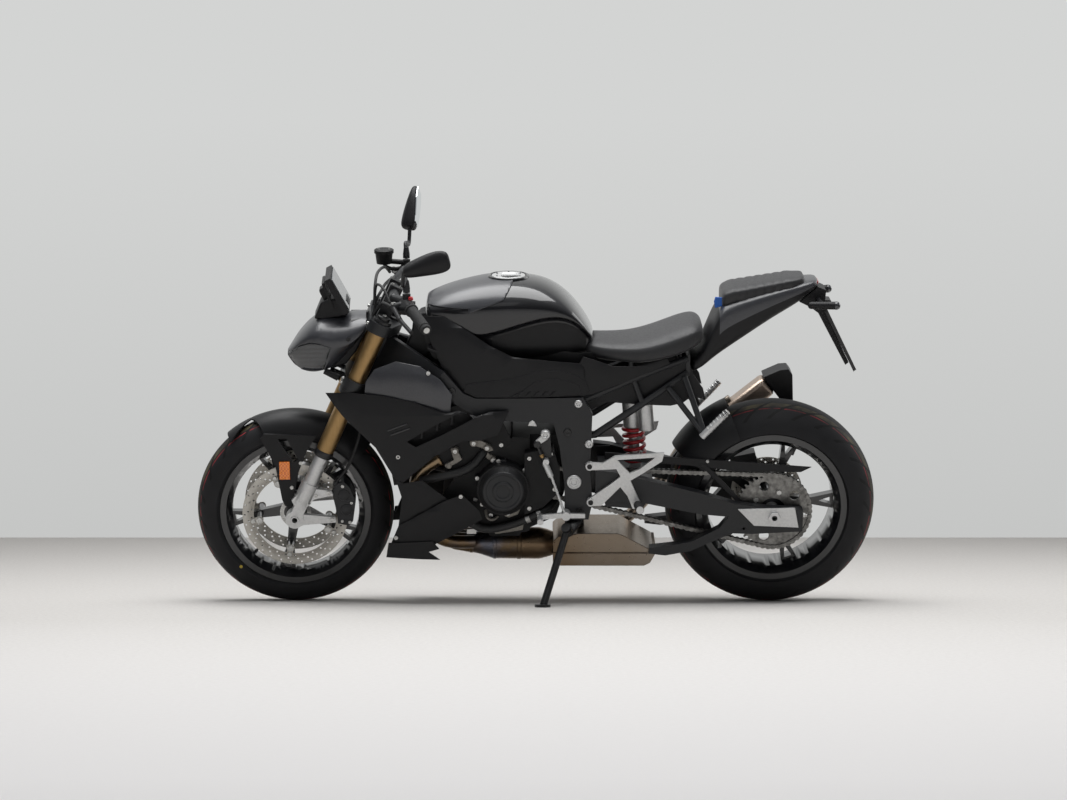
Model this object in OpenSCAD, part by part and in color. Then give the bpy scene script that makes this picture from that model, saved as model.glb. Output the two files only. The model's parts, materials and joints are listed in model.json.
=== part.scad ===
// Naked roadster motorcycle, parked on its side stand.
// Bike frame: +X forward, +Y to the rider's left, +Z up, origin on the ground at mid wheelbase.
// Every part is drawn upright in that frame; parked() then leans the whole machine on its stand.

/* [Stance] */
// Distance between the axles
wheelbase = 1450; // [1400:5:1500]
// Lean to the left on the side stand, in degrees
lean = 15.5; // [10:0.5:18]
// Steering angle at rest, to the left, in degrees
steer_rest = 3; // [0:0.5:8]
// Rake of the steering axis from the vertical, in degrees
rake = 24.2; // [22:0.1:27]
// Distance from the steering axis to the front axle
fork_offset = 36; // [28:1:44]

/* [Wheels and tyres] */
// Bead seat diameter of both rims
rim_d = 432; // [428:1:436]
// Width of the front tyre
front_tyre_w = 120; // [110:1:124]
// Section height of the front tyre
front_tyre_h = 84; // [78:1:86]
// Width of the rear tyre
rear_tyre_w = 190; // [180:1:194]
// Section height of the rear tyre
rear_tyre_h = 104; // [98:1:106]
// Thickness of a tyre's tread
tread_t = 9; // [6:0.5:12]
// Width of the front rim between its flanges' outer faces
front_rim_w = 102; // [96:1:108]
// Width of the rear rim between its flanges' outer faces
rear_rim_w = 166; // [160:1:172]
// Number of spokes on each wheel
spokes = 5; // [5:1:6]
// Radius of both axles
axle_r = 12.5; // [10:0.5:15]
// Radius of the hole through both axles
axle_bore_r = 8; // [6:0.5:9]

/* [Brakes] */
// Radius of the front brake discs
front_disc_r = 160; // [150:1:160]
// Distance of each front disc from the wheel's middle plane
front_disc_y = 70; // [68:0.5:71]
// Radius of the rear brake disc
rear_disc_r = 110; // [105:1:115]
// Thickness of the brake discs
disc_t = 4.5; // [4:0.5:6]

/* [Fork and bars] */
// Distance of each fork leg from the middle plane
leg_y = 105; // [104:0.5:108]
// Radius of the gold outer tubes
outer_tube_r = 27; // [25:0.5:27]
// Radius of the silver inner tubes
inner_tube_r = 21.5; // [20:0.5:22]
// Height of the outer tubes' lower end above the axle, along the leg
outer_tube_from = 219; // [200:1:240]
// Height of the legs' top caps above the axle, along the leg
leg_top = 672; // [660:1:690]
// Half width of the handlebar at its ends
bar_reach = 380; // [360:1:400]
// Radius of the handlebar at the grips
bar_r = 11; // [10:0.5:12]
// Height of the handlebar clamp above the ground
bar_z = 985; // [975:1:995]

/* [Drive] */
// Pitch of the chain
chain_pitch = 15.875; // [12.7:0.001:15.875]
// Teeth on the rear sprocket
rear_teeth = 45; // [42:1:47]
// Teeth on the gearbox sprocket
front_teeth = 17; // [15:1:18]
// Distance of the chain line from the middle plane
chain_y = 112; // [110:0.5:114]

/* [Frame and body] */
// Half width of the frame over its spars
frame_half_w = 165; // [160:1:170]
// Thickness of the frame's spars and pivot plates
spar_t = 28; // [22:1:30]
// Height of the swingarm pivot
pivot_z = 430; // [420:1:440]
// Half width of the fuel tank at its shoulders
tank_half_w = 150; // [140:1:156]
// Half width of the rider's seat
seat_half_w = 148; // [135:1:155]
// Half width of the side fairings
fairing_half_w = 205; // [200:1:215]
// Thickness of the plastic panels
panel_t = 4; // [3:0.5:6]

/* [Hidden] */
$fn = 64;
fit = 0.3;

// Wheels: a tyre's section is a circle of half its width about its core radius.
front_x = wheelbase / 2;
rear_x = -wheelbase / 2;
front_r = rim_d / 2 + front_tyre_h;
rear_r = rim_d / 2 + rear_tyre_h;
front_crown = front_tyre_w / 2;
rear_crown = rear_tyre_w / 2;
front_core = front_r - front_crown;
rear_core = rear_r - rear_crown;

// Axle heights that set both leaning tyres down on the ground.
rear_z = rear_core + rear_crown / cos(lean);
axle_dip = -cos(steer_rest) * sin(lean) - sin(steer_rest) * sin(rake) * cos(lean);
front_z = (front_core * sqrt(1 - axle_dip * axle_dip) + front_crown
           + fork_offset * sin(steer_rest) * sin(lean)) / cos(lean)
          + fork_offset * (1 - cos(steer_rest)) * sin(rake);

// Chain: pitch circles and the front sprocket's place on the gearbox.
rear_pitch_r = chain_pitch / 2 / sin(180 / rear_teeth);
front_pitch_r = chain_pitch / 2 / sin(180 / front_teeth);
gearbox_x = -60;
gearbox_z = 415;
pivot_x = -124;

// The part's own origin is under the middle of its box.
origin_x = (rear_r - front_r) / 2;
origin_y = -234;

// Placing helpers

module parked() translate([origin_x, origin_y, 0]) rotate([-lean, 0, 0]) children();

module steered() {
    translate([front_x, 0, front_z]) rotate([0, -rake, 0]) translate([-fork_offset, 0, 0])
        rotate([0, 0, steer_rest])
            translate([fork_offset, 0, 0]) rotate([0, rake, 0]) translate([-front_x, 0,
                -front_z]) children();
}

// Local frame of the fork: origin on the axle, z up along the legs, x forward.
module on_fork() translate([front_x, 0, front_z]) rotate([0, -rake, 0]) children();

module at_front() translate([front_x, 0, front_z]) children();
module at_rear() translate([rear_x, 0, rear_z]) children();

module both_sides() {
    children();
    mirror([0, 1, 0]) children();
}

// Turns a shape about Z into one about the wheel's axle.
module about_axle() rotate([90, 0, 0]) children();

// Plate with an outline in the XZ plane, from y0 to y1.
module plate(outline, y0, y1) translate([0, y1, 0]) rotate([90, 0, 0])
    linear_extrude(y1 - y0) polygon(outline);

// Round bar between two points.
module rod(a, b, r) {
    v = b - a;
    l = norm(v);
    translate(a) rotate([0, acos(v[2] / l), atan2(v[1], v[0])]) cylinder(h = l, r = r);
}

// Cylinder along Y from y0 to y1, centred on [x, z].
module pin_y(x, z, r, y0, y1) translate([x, y1, z]) rotate([90, 0, 0]) cylinder(h = y1 - y0, r = r);

// Solid through a list of closed rings with equal numbers of points, wound either way.
function mean(points) = [for (k = [0
    : 2]) [for (p = points) p[k]] * [for (p = points) 1]] / len(points);
function ring_spin(ring) = let (c = mean(ring), n = len(ring))
    mean([for (j = [0 : n - 1]) cross(ring[j] - c, ring[(j + 1) % n] - c)]);
module loft(rings) {
    n = len(rings[0]);
    m = len(rings);
    points = concat([for (r = rings) each r], [mean(rings[0]), mean(rings[m - 1])]);
    faces = concat(
        [for (i = [0 : m - 2]) for (j = [0 : n - 1]) let (a = i * n + j, b = i * n + (j + 1) % n)
            each [[a, a + n, b + n], [a, b + n, b]]],
        [for (j = [0 : n - 1]) [m * n, j, (j + 1) % n]],
        [for (j = [0 : n - 1]) [m * n + 1, (m - 1) * n + (j + 1) % n, (m - 1) * n + j]]);
    along = (mean(rings[m - 1]) - mean(rings[0])) * ring_spin(rings[0]) > 0;
    polyhedron(points, along ? faces : [for (f = faces) [f[0], f[2], f[1]]], convexity = 8);
}

// Tube of radius r swept along points, with its rings square to the path.
function unit(v) = v / norm(v);
function path_dir(p, i) = unit(p[min(i + 1, len(p) - 1)] - p[max(i - 1, 0)]);
module pipe(path, r, sides = 12) {
    loft([for (i = [0 : len(path) - 1])
        let (d = path_dir(path, i), u = unit(cross(d, abs(d[1]) > 0.9 ? [1, 0, 0] : [0, 1, 0])),
            w = cross(d, u),
             ri = is_list(r) ? r[i] : r)
        [for (k = [0 : sides - 1]) path[i] + ri * (cos(360 * k / sides) * u
            + sin(360 * k / sides) * w)]]);
}

// Points on a smooth curve through a list of points, with steps between each pair.
function smooth(p, steps) = [for (i = [0 : len(p) - 2]) for (s = [0 : steps - 1])
    let (t = s / steps, a = p[max(i - 1, 0)], b = p[i], c = p[i + 1], d = p[min(i + 2, len(p) - 1)])
    b + 0.5 * t * (c - a + t * (2 * a - 5 * b + 4 * c - d + t * (3 * (b - c) + d - a))), p[len(p) - 1]];

// Wheels

rim_wall = 5;
rim_flange = 13;

// Tyre: a round crown over short sidewalls, whose beads sit inside the rim's flanges.
module tyre(core, crown, rim_half) {
    bead = rim_d / 2;
    lip = bead + rim_flange + 2;
    foot = rim_half - rim_wall - fit;
    base = max(core, lip + 4);
    inside = crown - tread_t;
    half = sqrt(crown * crown - pow(base - core, 2));
    half_in = sqrt(inside * inside - pow(base - core, 2));
    color("#1c1c1d") about_axle() rotate_extrude() difference() {
        union() {
            crown_half(core, crown, base);
            mirrored_outline([[base, half], [lip, rim_half + 2], [lip, foot], [bead, foot]]);
        }
        crown_half(core, inside, base);
        mirrored_outline([[base, half_in], [lip, foot - 6], [bead - 1, foot - 9]]);
    }
}
module crown_half(core, r, from) intersection() {
    translate([core, 0]) circle(r = r);
    translate([from - 0.01, -2 * r]) square([4 * r, 4 * r]);
}
module mirrored_outline(half) polygon(concat(half, [for (i = [len(half) - 1 : -1 : 0]) [half[i][0],
    -half[i][1]]]));

module front_tyre() at_front() tyre(front_core, front_crown, front_rim_w / 2);
module rear_tyre() at_rear() tyre(rear_core, rear_crown, rear_rim_w / 2);

// Rim barrel: two bead flanges and a dropped centre.
module barrel(half_w) {
    bead = rim_d / 2;
    wall = rim_wall;
    flange = rim_flange;
    drop = 18;
    rotate_extrude() polygon([
        [bead + flange, half_w], [bead + flange, half_w - wall], [bead - fit, half_w - wall],
        [bead - fit, half_w - 22], [bead - drop, half_w - 34], [bead - drop, 34 - half_w],
        [bead - fit, 22 - half_w], [bead - fit, wall - half_w], [bead + flange, wall - half_w],
        [bead + flange, -half_w], [bead - wall, -half_w], [bead - wall - drop, 26 - half_w],
        [bead - wall - drop, half_w - 26], [bead - wall, half_w]]);
}

// One spoke that forks to the rim round a triangular window.
module spoke(root_r, tip_r, thick) {
    fork_r = root_r + 0.56 * (tip_r - root_r);
    linear_extrude(thick, center = true) difference() {
        polygon([[root_r, 17], [fork_r, 11], [tip_r, 25], [tip_r, -25], [fork_r, -11], [root_r, -17]]);
        polygon([[fork_r + 22, 0], [tip_r - 10, 12], [tip_r - 10, -12]]);
    }
}

module rim(half_w, hub_half, first_angle, thick, hub_r, boss_r, boss_circle, boss_to) {
    color("#17181a") about_axle() difference() {
        union() {
            barrel(half_w);
            cylinder(h = 2 * hub_half, r = hub_r, center = true);
            for (i = [0 : spokes - 1]) rotate([0, 0, first_angle + 360 * i / spokes]) {
                spoke(hub_r - 6, rim_d / 2 - 20, thick);
                for (s = boss_to) translate([boss_circle, 0, min(0, s)]) cylinder(h = abs(s),
                    r = boss_r);
            }
        }
        cylinder(h = 4 * hub_half, r = axle_r + fit, center = true);
    }
}

front_boss_circle = 110;
rear_boss_circle = 62;
front_disc_face = front_disc_y - disc_t / 2;
rear_disc_y = 92;
sprocket_t = 7;
sprocket_carrier_y = chain_y - sprocket_t / 2;

module front_rim() at_front() rim(front_rim_w / 2, 52, 135, 26, 34, 10, front_boss_circle,
                                  [front_disc_face, -front_disc_face]);

module rear_rim() at_rear() rim(rear_rim_w / 2, 86, 179, 34, 46, 9, rear_boss_circle,
                                [rear_disc_y - disc_t / 2, -sprocket_carrier_y]);

// Disc with drilled rows and lugs on a bolt circle.
module brake_disc(r, ring_w, lug_circle, lug_r, first_angle, holes) {
    linear_extrude(disc_t, center = true) difference() {
        union() {
            difference() {
                circle(r = r);
                circle(r = r - ring_w);
            }
            for (i = [0 : spokes - 1]) rotate(first_angle + 360 * i / spokes) {
                translate([lug_circle, 0]) circle(r = lug_r);
                translate([lug_circle, -lug_r * 0.8]) square([r - ring_w + 2 - lug_circle,
                    lug_r * 1.6]);
            }
        }
        for (i = [0 : holes - 1]) rotate(360 * i / holes) for (row = [0 : 2]) rotate(row * 120 / holes)
            translate([r - ring_w * (0.2 + 0.3 * row), 0]) circle(r = 3);
    }
}

module front_discs() color("#9b9c9d") at_front() about_axle() for (s = [1, -1])
    translate([0, 0, s * front_disc_y]) brake_disc(front_disc_r, 34, front_boss_circle, 12, 135, 30);

module rear_disc() color("#9b9c9d") at_rear() about_axle() translate([0, 0, rear_disc_y])
    brake_disc(rear_disc_r, 32, rear_boss_circle, 10, 179, 18);

// Sprocket: teeth follow the pitch, and windows lighten its web.
module toothed_disc(teeth, pitch_r, thick) {
    root = pitch_r - 5.2;
    tip = pitch_r + 4;
    step = 360 / teeth;
    linear_extrude(thick, center = true) polygon([for (i = [0 : teeth - 1])
        each [for (q = [[0.00, root], [0.22, root], [0.40, tip], [0.60, tip], [0.78, root]])
            q[1] * [cos(step * (i + q[0])), sin(step * (i + q[0]))]]]);
}

module rear_sprocket() color("#3a3b3d") at_rear() about_axle() translate([0, 0,
    -chain_y]) difference() {
    toothed_disc(rear_teeth, rear_pitch_r, sprocket_t);
    cylinder(h = 2 * sprocket_t, r = 40, center = true);
    for (i = [0 : spokes - 1]) rotate([0, 0, 215 + 360 * i / spokes])
        translate([82, 0, 0]) cylinder(h = 2 * sprocket_t, r = 15, center = true);
}

// Front end

module fork_outer_tubes() color("#a07d4a") on_fork() both_sides() translate([0, leg_y, 0]) {
    translate([0, 0, outer_tube_from]) cylinder(h = 24, r1 = inner_tube_r + 3, r2 = outer_tube_r);
    translate([0, 0, outer_tube_from + 24]) cylinder(h = leg_top - outer_tube_from - 24,
        r = outer_tube_r);
    translate([0, 0, leg_top]) cylinder(h = 12, r = 17, $fn = 6);
}

// Silver lower leg: inner tube, axle clamp and the two arms that carry the caliper.
casting_half_y = 22;
module fork_lower_legs() color("#c9cacb") both_sides() difference() {
    union() {
        on_fork() translate([0, leg_y, 0]) {
            translate([0, 0, 70]) cylinder(h = outer_tube_from - 70 - fit, r = inner_tube_r);
            translate([0, 0, 60]) cylinder(h = 62, r = inner_tube_r + 5);
            translate([-18, -casting_half_y, 0]) cube([36, 2 * casting_half_y, 66]);
            rotate([90, 0, 0]) cylinder(h = 2 * casting_half_y, r = 27, center = true);
        }
        translate([front_x, 0, front_z]) {
            plate([[-30, 100], [-112, 88], [-118, 74], [-60, 62], [-12, 10],
                [8, 60]], leg_y - 2, leg_y + 14);
            plate([[0, 18], [-122, 4], [-126, -12], [-8, -20]], leg_y - 2, leg_y + 14);
        }
    }
    at_front() about_axle() cylinder(h = 400, r = axle_r + fit, center = true);
}

lower_yoke = 440;
yoke_t = 34;
upper_yoke = leg_top - yoke_t - 6;
stem_r = 15;
module yoke(z, boss_r) translate([0, 0, z]) difference() {
    linear_extrude(yoke_t) hull() {
        for (s = [1, -1]) translate([0, s * leg_y]) circle(r = outer_tube_r + 10);
        translate([-fork_offset, 0]) circle(r = boss_r);
    }
    for (s = [1, -1]) translate([0, s * leg_y, -1]) cylinder(h = yoke_t + 2, r = outer_tube_r + fit);
}
module fork_yokes() color("#1d1e20") on_fork() {
    yoke(lower_yoke, 40);
    yoke(upper_yoke, 34);
    translate([-fork_offset, 0, lower_yoke + 1]) cylinder(h = upper_yoke - lower_yoke + yoke_t,
        r = stem_r);
}

module front_axle() color("#b9babc") at_front() about_axle() difference() {
    union() {
        cylinder(h = 2 * (leg_y + casting_half_y) + 8, r = axle_r, center = true);
        for (s = [1, -1]) translate([0, 0, s * 67.5]) cylinder(h = 30, r = 19, center = true);
    }
    cylinder(h = 400, r = axle_bore_r, center = true);
}

// Mudguard: an arched shell that follows the tyre, with a bracket down each side.
guard_gap = 10;
module arched_shell(core, inner, from, to, skirt) {
    about_axle() rotate([0, 0, from]) rotate_extrude(angle = to - from) intersection() {
        difference() {
            translate([core, 0]) circle(r = inner + panel_t);
            translate([core, 0]) circle(r = inner);
        }
        translate([core + skirt, -2 * inner]) square([2 * inner, 4 * inner]);
    }
}
guard_in = front_crown + guard_gap;
bracket_in = front_disc_y + disc_t / 2 + 5.2;
bracket_out = leg_y - casting_half_y - fit;
module front_mudguard() color("#232426") {
    difference() {
        at_front() arched_shell(front_core, guard_in, 50, 138, 12);
        for (s = [1, -1]) translate([front_x + 128, s * 8, front_z]) rotate([0, 0, s * 33])
            translate([0, s > 0 ? 0 : -200, 0]) cube([200, 200, 400]);
    }
    both_sides() difference() {
        plate([[front_x + 88, 560], [front_x + 98, 545], [front_x + 56, 462], [front_x + 38, 352],
            [front_x + 30, 332],
               [front_x - 36, 330], [front_x - 34, 342], [front_x + 2, 360], [front_x - 14, 440],
                   [front_x - 40, 505],
               [front_x - 70, 552]], guard_in - 1, bracket_out);
        plate([[front_x + 46, 545], [front_x + 20, 545], [front_x - 14, 478],
            [front_x + 2, 470]], 0, 200);
        at_front() about_axle() cylinder(h = 2 * bracket_in, r = front_disc_r + 6, center = true);
    }
}

module front_reflectors() color("#e8730c") both_sides()
    plate([[front_x + 12, 418], [front_x + 12, 474], [front_x + 44, 474], [front_x + 44, 418]],
          bracket_out, bracket_out + 7);

// Radial caliper that straddles the disc.
module front_calipers() color("#131314") translate([front_x, 0, front_z]) both_sides() difference() {
    plate([[-113, 82], [-128, 106], [-150, 112], [-168, 94], [-185, 50], [-176, -12], [-164, -28],
        [-130, -20], [-124, 30]],
          front_disc_y - 34, front_disc_y + 36);
    about_axle() translate([0, 0, -front_disc_y]) cylinder(h = disc_t + 12, r = front_disc_r + 8,
        center = true);
    plate([[-90, 120], [-150, 60], [-150, 20], [-90, -20]], front_disc_y - 18, front_disc_y + 18);
    plate([[-30, 101], [-113, 89], [-119, 74], [-60, 61], [-12, 9], [8, 61]], leg_y - 3, leg_y + 15);
    plate([[0, 19], [-123, 5], [-127, -13], [-8, -21]], leg_y - 3, leg_y + 15);
}

// Handlebar: rises from its clamp, sweeps back and droops to the grips.
bar_fork_x = -2.5;
bar_fork_z = (bar_z - front_z - bar_fork_x * sin(rake)) / cos(rake);
bar_x = front_x + bar_fork_x * cos(rake) - bar_fork_z * sin(rake);
grip_in = [bar_x - 29, 196, bar_z + 14];
bar_end = [bar_x - 89, bar_reach, bar_z - 24];
module handlebar() color("#141415") {
    rod([bar_x, -112, bar_z], [bar_x, 112, bar_z], bar_r + 3);
    both_sides() {
        translate([bar_x, 112, bar_z]) sphere(r = bar_r + 3.4);
        rod([bar_x, 112, bar_z], grip_in, bar_r);
        translate(grip_in) sphere(r = bar_r + 0.4);
        rod(grip_in, bar_end, bar_r);
        on_fork() translate([bar_fork_x - 20, 26, upper_yoke + yoke_t])
            cube([40, 28, bar_fork_z + 20 - upper_yoke - yoke_t]);
    }
}

function along_bar(t) = grip_in + t * (bar_end - grip_in);
module grips() color("#0f0f10") both_sides() {
    difference() {
        union() {
            rod(along_bar(0.40), along_bar(0.998), 16.5);
            rod(along_bar(0.35), along_bar(0.402), 20);
        }
        rod(along_bar(-0.6), along_bar(2), bar_r + fit);
    }
    difference() {
        rod(along_bar(1.001), along_bar(1.08), 15);
        rod(along_bar(0.9), along_bar(1.3), 4);
    }
}

// Switch pods, lever perches and levers, and the brake fluid reservoir on the right.
perch = along_bar(0.14);
perch_top = perch[2] + 30;
module bar_controls() color("#161617") {
    both_sides() {
        difference() {
            union() {
                hull() {
                    rod(along_bar(0.08), along_bar(0.34), 19);
                    translate(along_bar(0.2) + [16, 0, -12]) sphere(r = 15, $fn = 16);
                }
                translate(perch) cylinder(h = perch_top - perch[2], r = 12);
                rod(along_bar(0.16) + [10, 0, 0], along_bar(0.18) + [42, 0, -6], 11);
            }
            rod(along_bar(-0.1), along_bar(1), bar_r + fit);
        }
        rod(along_bar(0.18) + [42, 0, -6], along_bar(0.6) + [46, 0, -10], 7);
        rod(along_bar(0.58) + [46, 0, -10], along_bar(0.99) + [38, 0, -14], 6);
    }
    translate([bar_x + 31, -212, bar_z + 30]) cylinder(h = 40, r1 = 23, r2 = 28);
    rod([bar_x + 31, -212, bar_z + 38], [perch[0], -perch[1], perch_top - 9.5], 8);
}

// Mirrors: the right one is set, the left one is swung back along the bike.
mirror_foot = [perch[0], perch[1], perch_top + 4.5];
module mirror_head(glass) {
    // Head in its own frame: x along its long side, y through it, origin at its neck.
    ring = [[0, 0, 16, 13], [18, 2, 22, 17], [60, 6, 30, 15], [105, 8, 34, 11], [135, 8, 26, 8],
        [150, 8, 8, 4]];
    if (glass) loft([for (q = ring) if (q[0] > 0 && q[0] < 140) [for (a = [0 : 15])
        let (front = a < 8)
        [q[0], -q[3] - (front ? fit : 3), q[1] + (q[2] - 3) * cos((front ? a : 15 - a) * 180 / 7)]]]);
    else loft([for (q = ring) [for (a = [0 : 15])
        let (c = cos(a * 22.5), s = sin(a * 22.5))
        [q[0], s > 0 ? q[3] * 1.9 * s : q[3] * max(s * 3, -1), q[1] + q[2] * c]]]);
}
function mirror_top(side) = [bar_x, 0, bar_z] + (side > 0 ? [-31, 296, 122] : [-49, 322, 112]);
module mirror_pose(side) {
    top = mirror_top(side);
    yaw = side > 0 ? 165 : 105;
    tilt = side > 0 ? -14 : -48;
    mirror([0, side > 0 ? 0 : 1, 0]) translate(top) rotate([0, 0, yaw]) rotate([0, tilt, 0])
        mirror([0, 1, 0]) children();
}
module mirrors() color("#1a1b1c") for (side = [1, -1]) {
    top = mirror_top(side);
    mirror([0, side > 0 ? 0 : 1, 0]) {
        pipe(smooth([mirror_foot, mirror_foot + [2, 14, 40], top + [4, -14, -44], top + [0, 3, 4]],
            4), 6, 10);
        translate(mirror_foot - [0, 0, 4]) cylinder(h = 36, r1 = 12, r2 = 8);
    }
    mirror_pose(side) mirror_head(false);
}
module mirror_glass() color("#cfd6da") for (side = [1, -1]) mirror_pose(side) mirror_head(true);

// Headlight mask, its lens and the display above it.
function half_ring(x, z0, z1, w, power, n) = [for (i = [0 : n - 1])
    let (a = 360 * i / n, c = cos(a), s = sin(a))
    [x, w * sign(s) * pow(abs(s), power), (z0 + z1) / 2 + (z1 - z0) / 2 * sign(c) * pow(abs(c),
        power)]];
yoke_front = [outer_tube_r + 10, upper_yoke + yoke_t / 2];
mask_at = [front_x + yoke_front[0] * cos(rake) - yoke_front[1] * sin(rake), 0,
           front_z + yoke_front[0] * sin(rake) + yoke_front[1] * cos(rake)];
mask = [[27, -56, 6, 86], [57, -93, 18, 108], [97, -133, 22, 118], [147, -156, 9, 108],
        [192, -163, -28, 84], [225, -146, -70, 54], [243, -126, -96, 24]];
module mask_body(grow) translate(mask_at) loft([for (q = mask)
    half_ring(q[0] + grow * (q[0] > 200 ? 0.8 : 0), q[1] - grow, q[2] + grow, q[3] + grow, 0.75, 24)]);
module lens_zone() translate(mask_at) both_sides()
    plate([[243, -78], [197, -62], [147, -66], [105, -78], [119, -132], [137, -158], [233, -168],
        [267, -118]], 16, 200);
lens_t = 5;
module headlight_mask() color("#202124") difference() {
    union() {
        mask_body(0);
        on_fork() both_sides() translate([outer_tube_r + 10 + fit, 44, upper_yoke + 4]) cube([48, 12,
            22]);
    }
    intersection() {
        lens_zone();
        difference() {
            mask_body(20);
            mask_body(-lens_t);
        }
    }
}
module headlight_lens() color("#5a5e62") intersection() {
    lens_zone();
    difference() {
        mask_body(-fit);
        mask_body(fit - lens_t);
    }
}

module display() color("#151617") translate(mask_at) {
    translate([91, 0, 76]) rotate([0, -62, 0]) cube([118, 176, 18], center = true);
    translate([119, 0, 68]) rotate([0, -70, 0]) cube([84, 96, 8], center = true);
    plate([[63, 24], [133, 24], [129, 42], [113, 54], [63, 54]], -40, 40);
}

module front_indicators() color("#1a1a1b") on_fork() both_sides() translate([0, 0, lower_yoke
    + yoke_t / 2]) {
    translate([outer_tube_r + 10 + fit, 44, 0]) rotate([0, 90, 0]) cylinder(h = 42, r = 8);
    translate([outer_tube_r + 40, 48, 0]) rotate([-90, 0, 0]) cylinder(h = 34, r = 7);
    translate([outer_tube_r + 24, 90, 0]) rotate([0, 90, 0]) cylinder(h = 46, r1 = 13, r2 = 9);
}

// Frame

head_from = lower_yoke + yoke_t + 4;
head_to = upper_yoke - 4;
spar_in = frame_half_w - spar_t;
module main_frame() color("#242527") {
    on_fork() difference() {
        translate([-fork_offset, 0, head_from]) cylinder(h = head_to - head_from, r = 36);
        translate([-fork_offset, 0, head_from - 1]) cylinder(h = head_to - head_from + 2,
            r = stem_r + fit);
    }
    both_sides() difference() {
        union() {
            hull() {
                on_fork() translate([-fork_offset - 30, 26, head_from + 6]) cube([26, 8,
                    head_to - head_from - 12]);
                plate([[262, 770], [206, 704], [226, 668], [286, 742]], spar_in, frame_half_w);
            }
            plate([[262, 770], [206, 704], [170, 688], [-150, 690], [-178, 640], [-172, 470],
                [-180, 366], [-168, 312],
                   [-96, 312], [-96, 420], [-80, 540], [-62, 612], [150, 622], [226, 668],
                       [286, 742]], spar_in, frame_half_w);
        }
        pin_y(pivot_x, pivot_z, pivot_r + fit, 0, 400);
    }
    pin_y(pivot_x - 6, 615, 18, -spar_in - 1, spar_in + 1);
    both_sides() plate([[-116, 602], [-116, 634], [-250, 690], [-322, 690], [-322, 655],
        [-262, 655], [-150, 602]],
                       shock_eye_half + fit, shock_eye_half + 8);
    pin_y(pivot_x - 20, 326, 12, -spar_in - 1, spar_in + 1);
}

// Engine: crankcase, forward-leaning block and head, sump and round side covers.
case_half = spar_in - 5;
block_half = spar_in - 3;
module engine() color("#1b1c1d") {
    plate([[8, 560], [8, 268], [20, 262], [150, 262], [250, 300], [272, 380], [230, 440],
        [60, 560]], -case_half, case_half);
    plate([[-92, 560], [-96, 380], [-70, 300], [9, 265], [9, 560]], -case_half, chain_y - 16);
    plate([[60, 545], [235, 425], [318, 560], [180, 612], [90, 612]], -block_half, block_half);
    plate([[20, 270], [150, 270], [130, 236], [40, 236]], -90, 90);
    plate([[-88, 482], [-88, 524], [-124, 514], [-124, 490]], fit - spar_in, spar_in - fit);
    both_sides() plate([[100, 600], [170, 600], [160, 654], [114, 654]], 104, spar_in - fit);
}
module round_cover(x, z, r, y0, y1) {
    pin_y(x, z, r, y0, y1 - 14);
    translate([x, y1 - 14.1, z]) rotate([-90, 0, 0]) cylinder(h = 14, r1 = r - 4, r2 = r - 16);
    for (a = [20 : 60 : 320]) pin_y(x + (r + 5) * cos(a), z + (r + 5) * sin(a), 7, y0, y0 + 26);
}
module engine_covers() color("#151516") {
    round_cover(88, 412, 78, case_half, 205);
    plate([[24, 520], [-60, 540], [-82, 470], [-80, 400], [-30, 352],
        [24, 330]], case_half, case_half + 40);
    mirror([0, 1, 0]) {
        round_cover(20, 405, 92, case_half, 200);
        round_cover(180, 380, 46, case_half, 186);
    }
}

radiator_pos = [416, 0, 532];
radiator_w = 340;
radiator_h = 220;
module radiator() color("#1f2022") translate(radiator_pos) rotate([0, 10, 0]) difference() {
    cube([36, radiator_w, radiator_h], center = true);
    for (z = [15 - radiator_h / 2 : 15 : radiator_h / 2 - 10]) translate([18, 0, z]) cube([12,
        radiator_w - 40, 9], center = true);
}

// Tank and bodywork

// Cross-section ring of the tank: crown, shoulder, knee recess and flat foot.
function tank_ring(x, top, shoulder_z, shoulder, knee_z, knee, foot_z, foot) = let (half = concat(
    [for (i = [0 : 6]) let (a = 15 * i) [x, shoulder * pow(sin(a), 0.85), shoulder_z
        + (top - shoulder_z) * pow(cos(a), 0.8)]],
    [[x, shoulder * 0.985, shoulder_z - 0.4 * (shoulder_z - knee_z)], [x, knee, knee_z],
     [x, knee * 0.98, (knee_z + foot_z) / 2], [x, foot, foot_z]]))
    concat(half, [for (i = [len(half) - 1 : -1 : 1]) [half[i][0], -half[i][1], half[i][2]]]);
tank_rings = [
    [318, 958, 925, 0.62, 880, 0.60, 862, 0.50], [270, 982, 925, 0.84, 868, 0.76, 812, 0.70],
    [200, 1006, 925, 0.95, 864, 0.79, 780, 0.76], [120, 1021, 930, 1.00, 862, 0.80, 770, 0.78],
    [40, 1025, 932, 1.00, 860, 0.80, 770, 0.78], [-40, 1010, 930, 0.97, 860, 0.72, 775, 0.70],
    [-100, 974, 915, 0.86, 850, 0.68, 785, 0.64], [-150, 915, 880, 0.74, 840, 0.62, 795, 0.56],
    [-182, 862, 846, 0.58, 826, 0.52, 806, 0.46]];
spar_top = 690;
module tank_shell() difference() {
    loft([for (q = tank_rings) tank_ring(q[0], q[1], q[2], q[3] * tank_half_w, q[4],
        q[5] * tank_half_w, q[6], q[7] * tank_half_w)]);
    translate(cap_pos) cylinder(h = 60, r = cap_r + fit);
}
module fuel_tank() color("#26262a") {
    tank_shell();
    both_sides() for (x = [-90, 110]) translate([x, tank_half_w / 2, spar_top + fit])
        cube([34, frame_half_w - 18 - tank_half_w / 2, 100]);
}
cap_pos = [72, 0, 1008];
cap_r = 52;
module fuel_cap() color("#d7d8d8") translate(cap_pos + [0, 0, fit]) {
    cylinder(h = 20, r = cap_r);
    translate([0, 0, 20]) cylinder(h = 4, r1 = cap_r, r2 = cap_r - 5);
}

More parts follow.
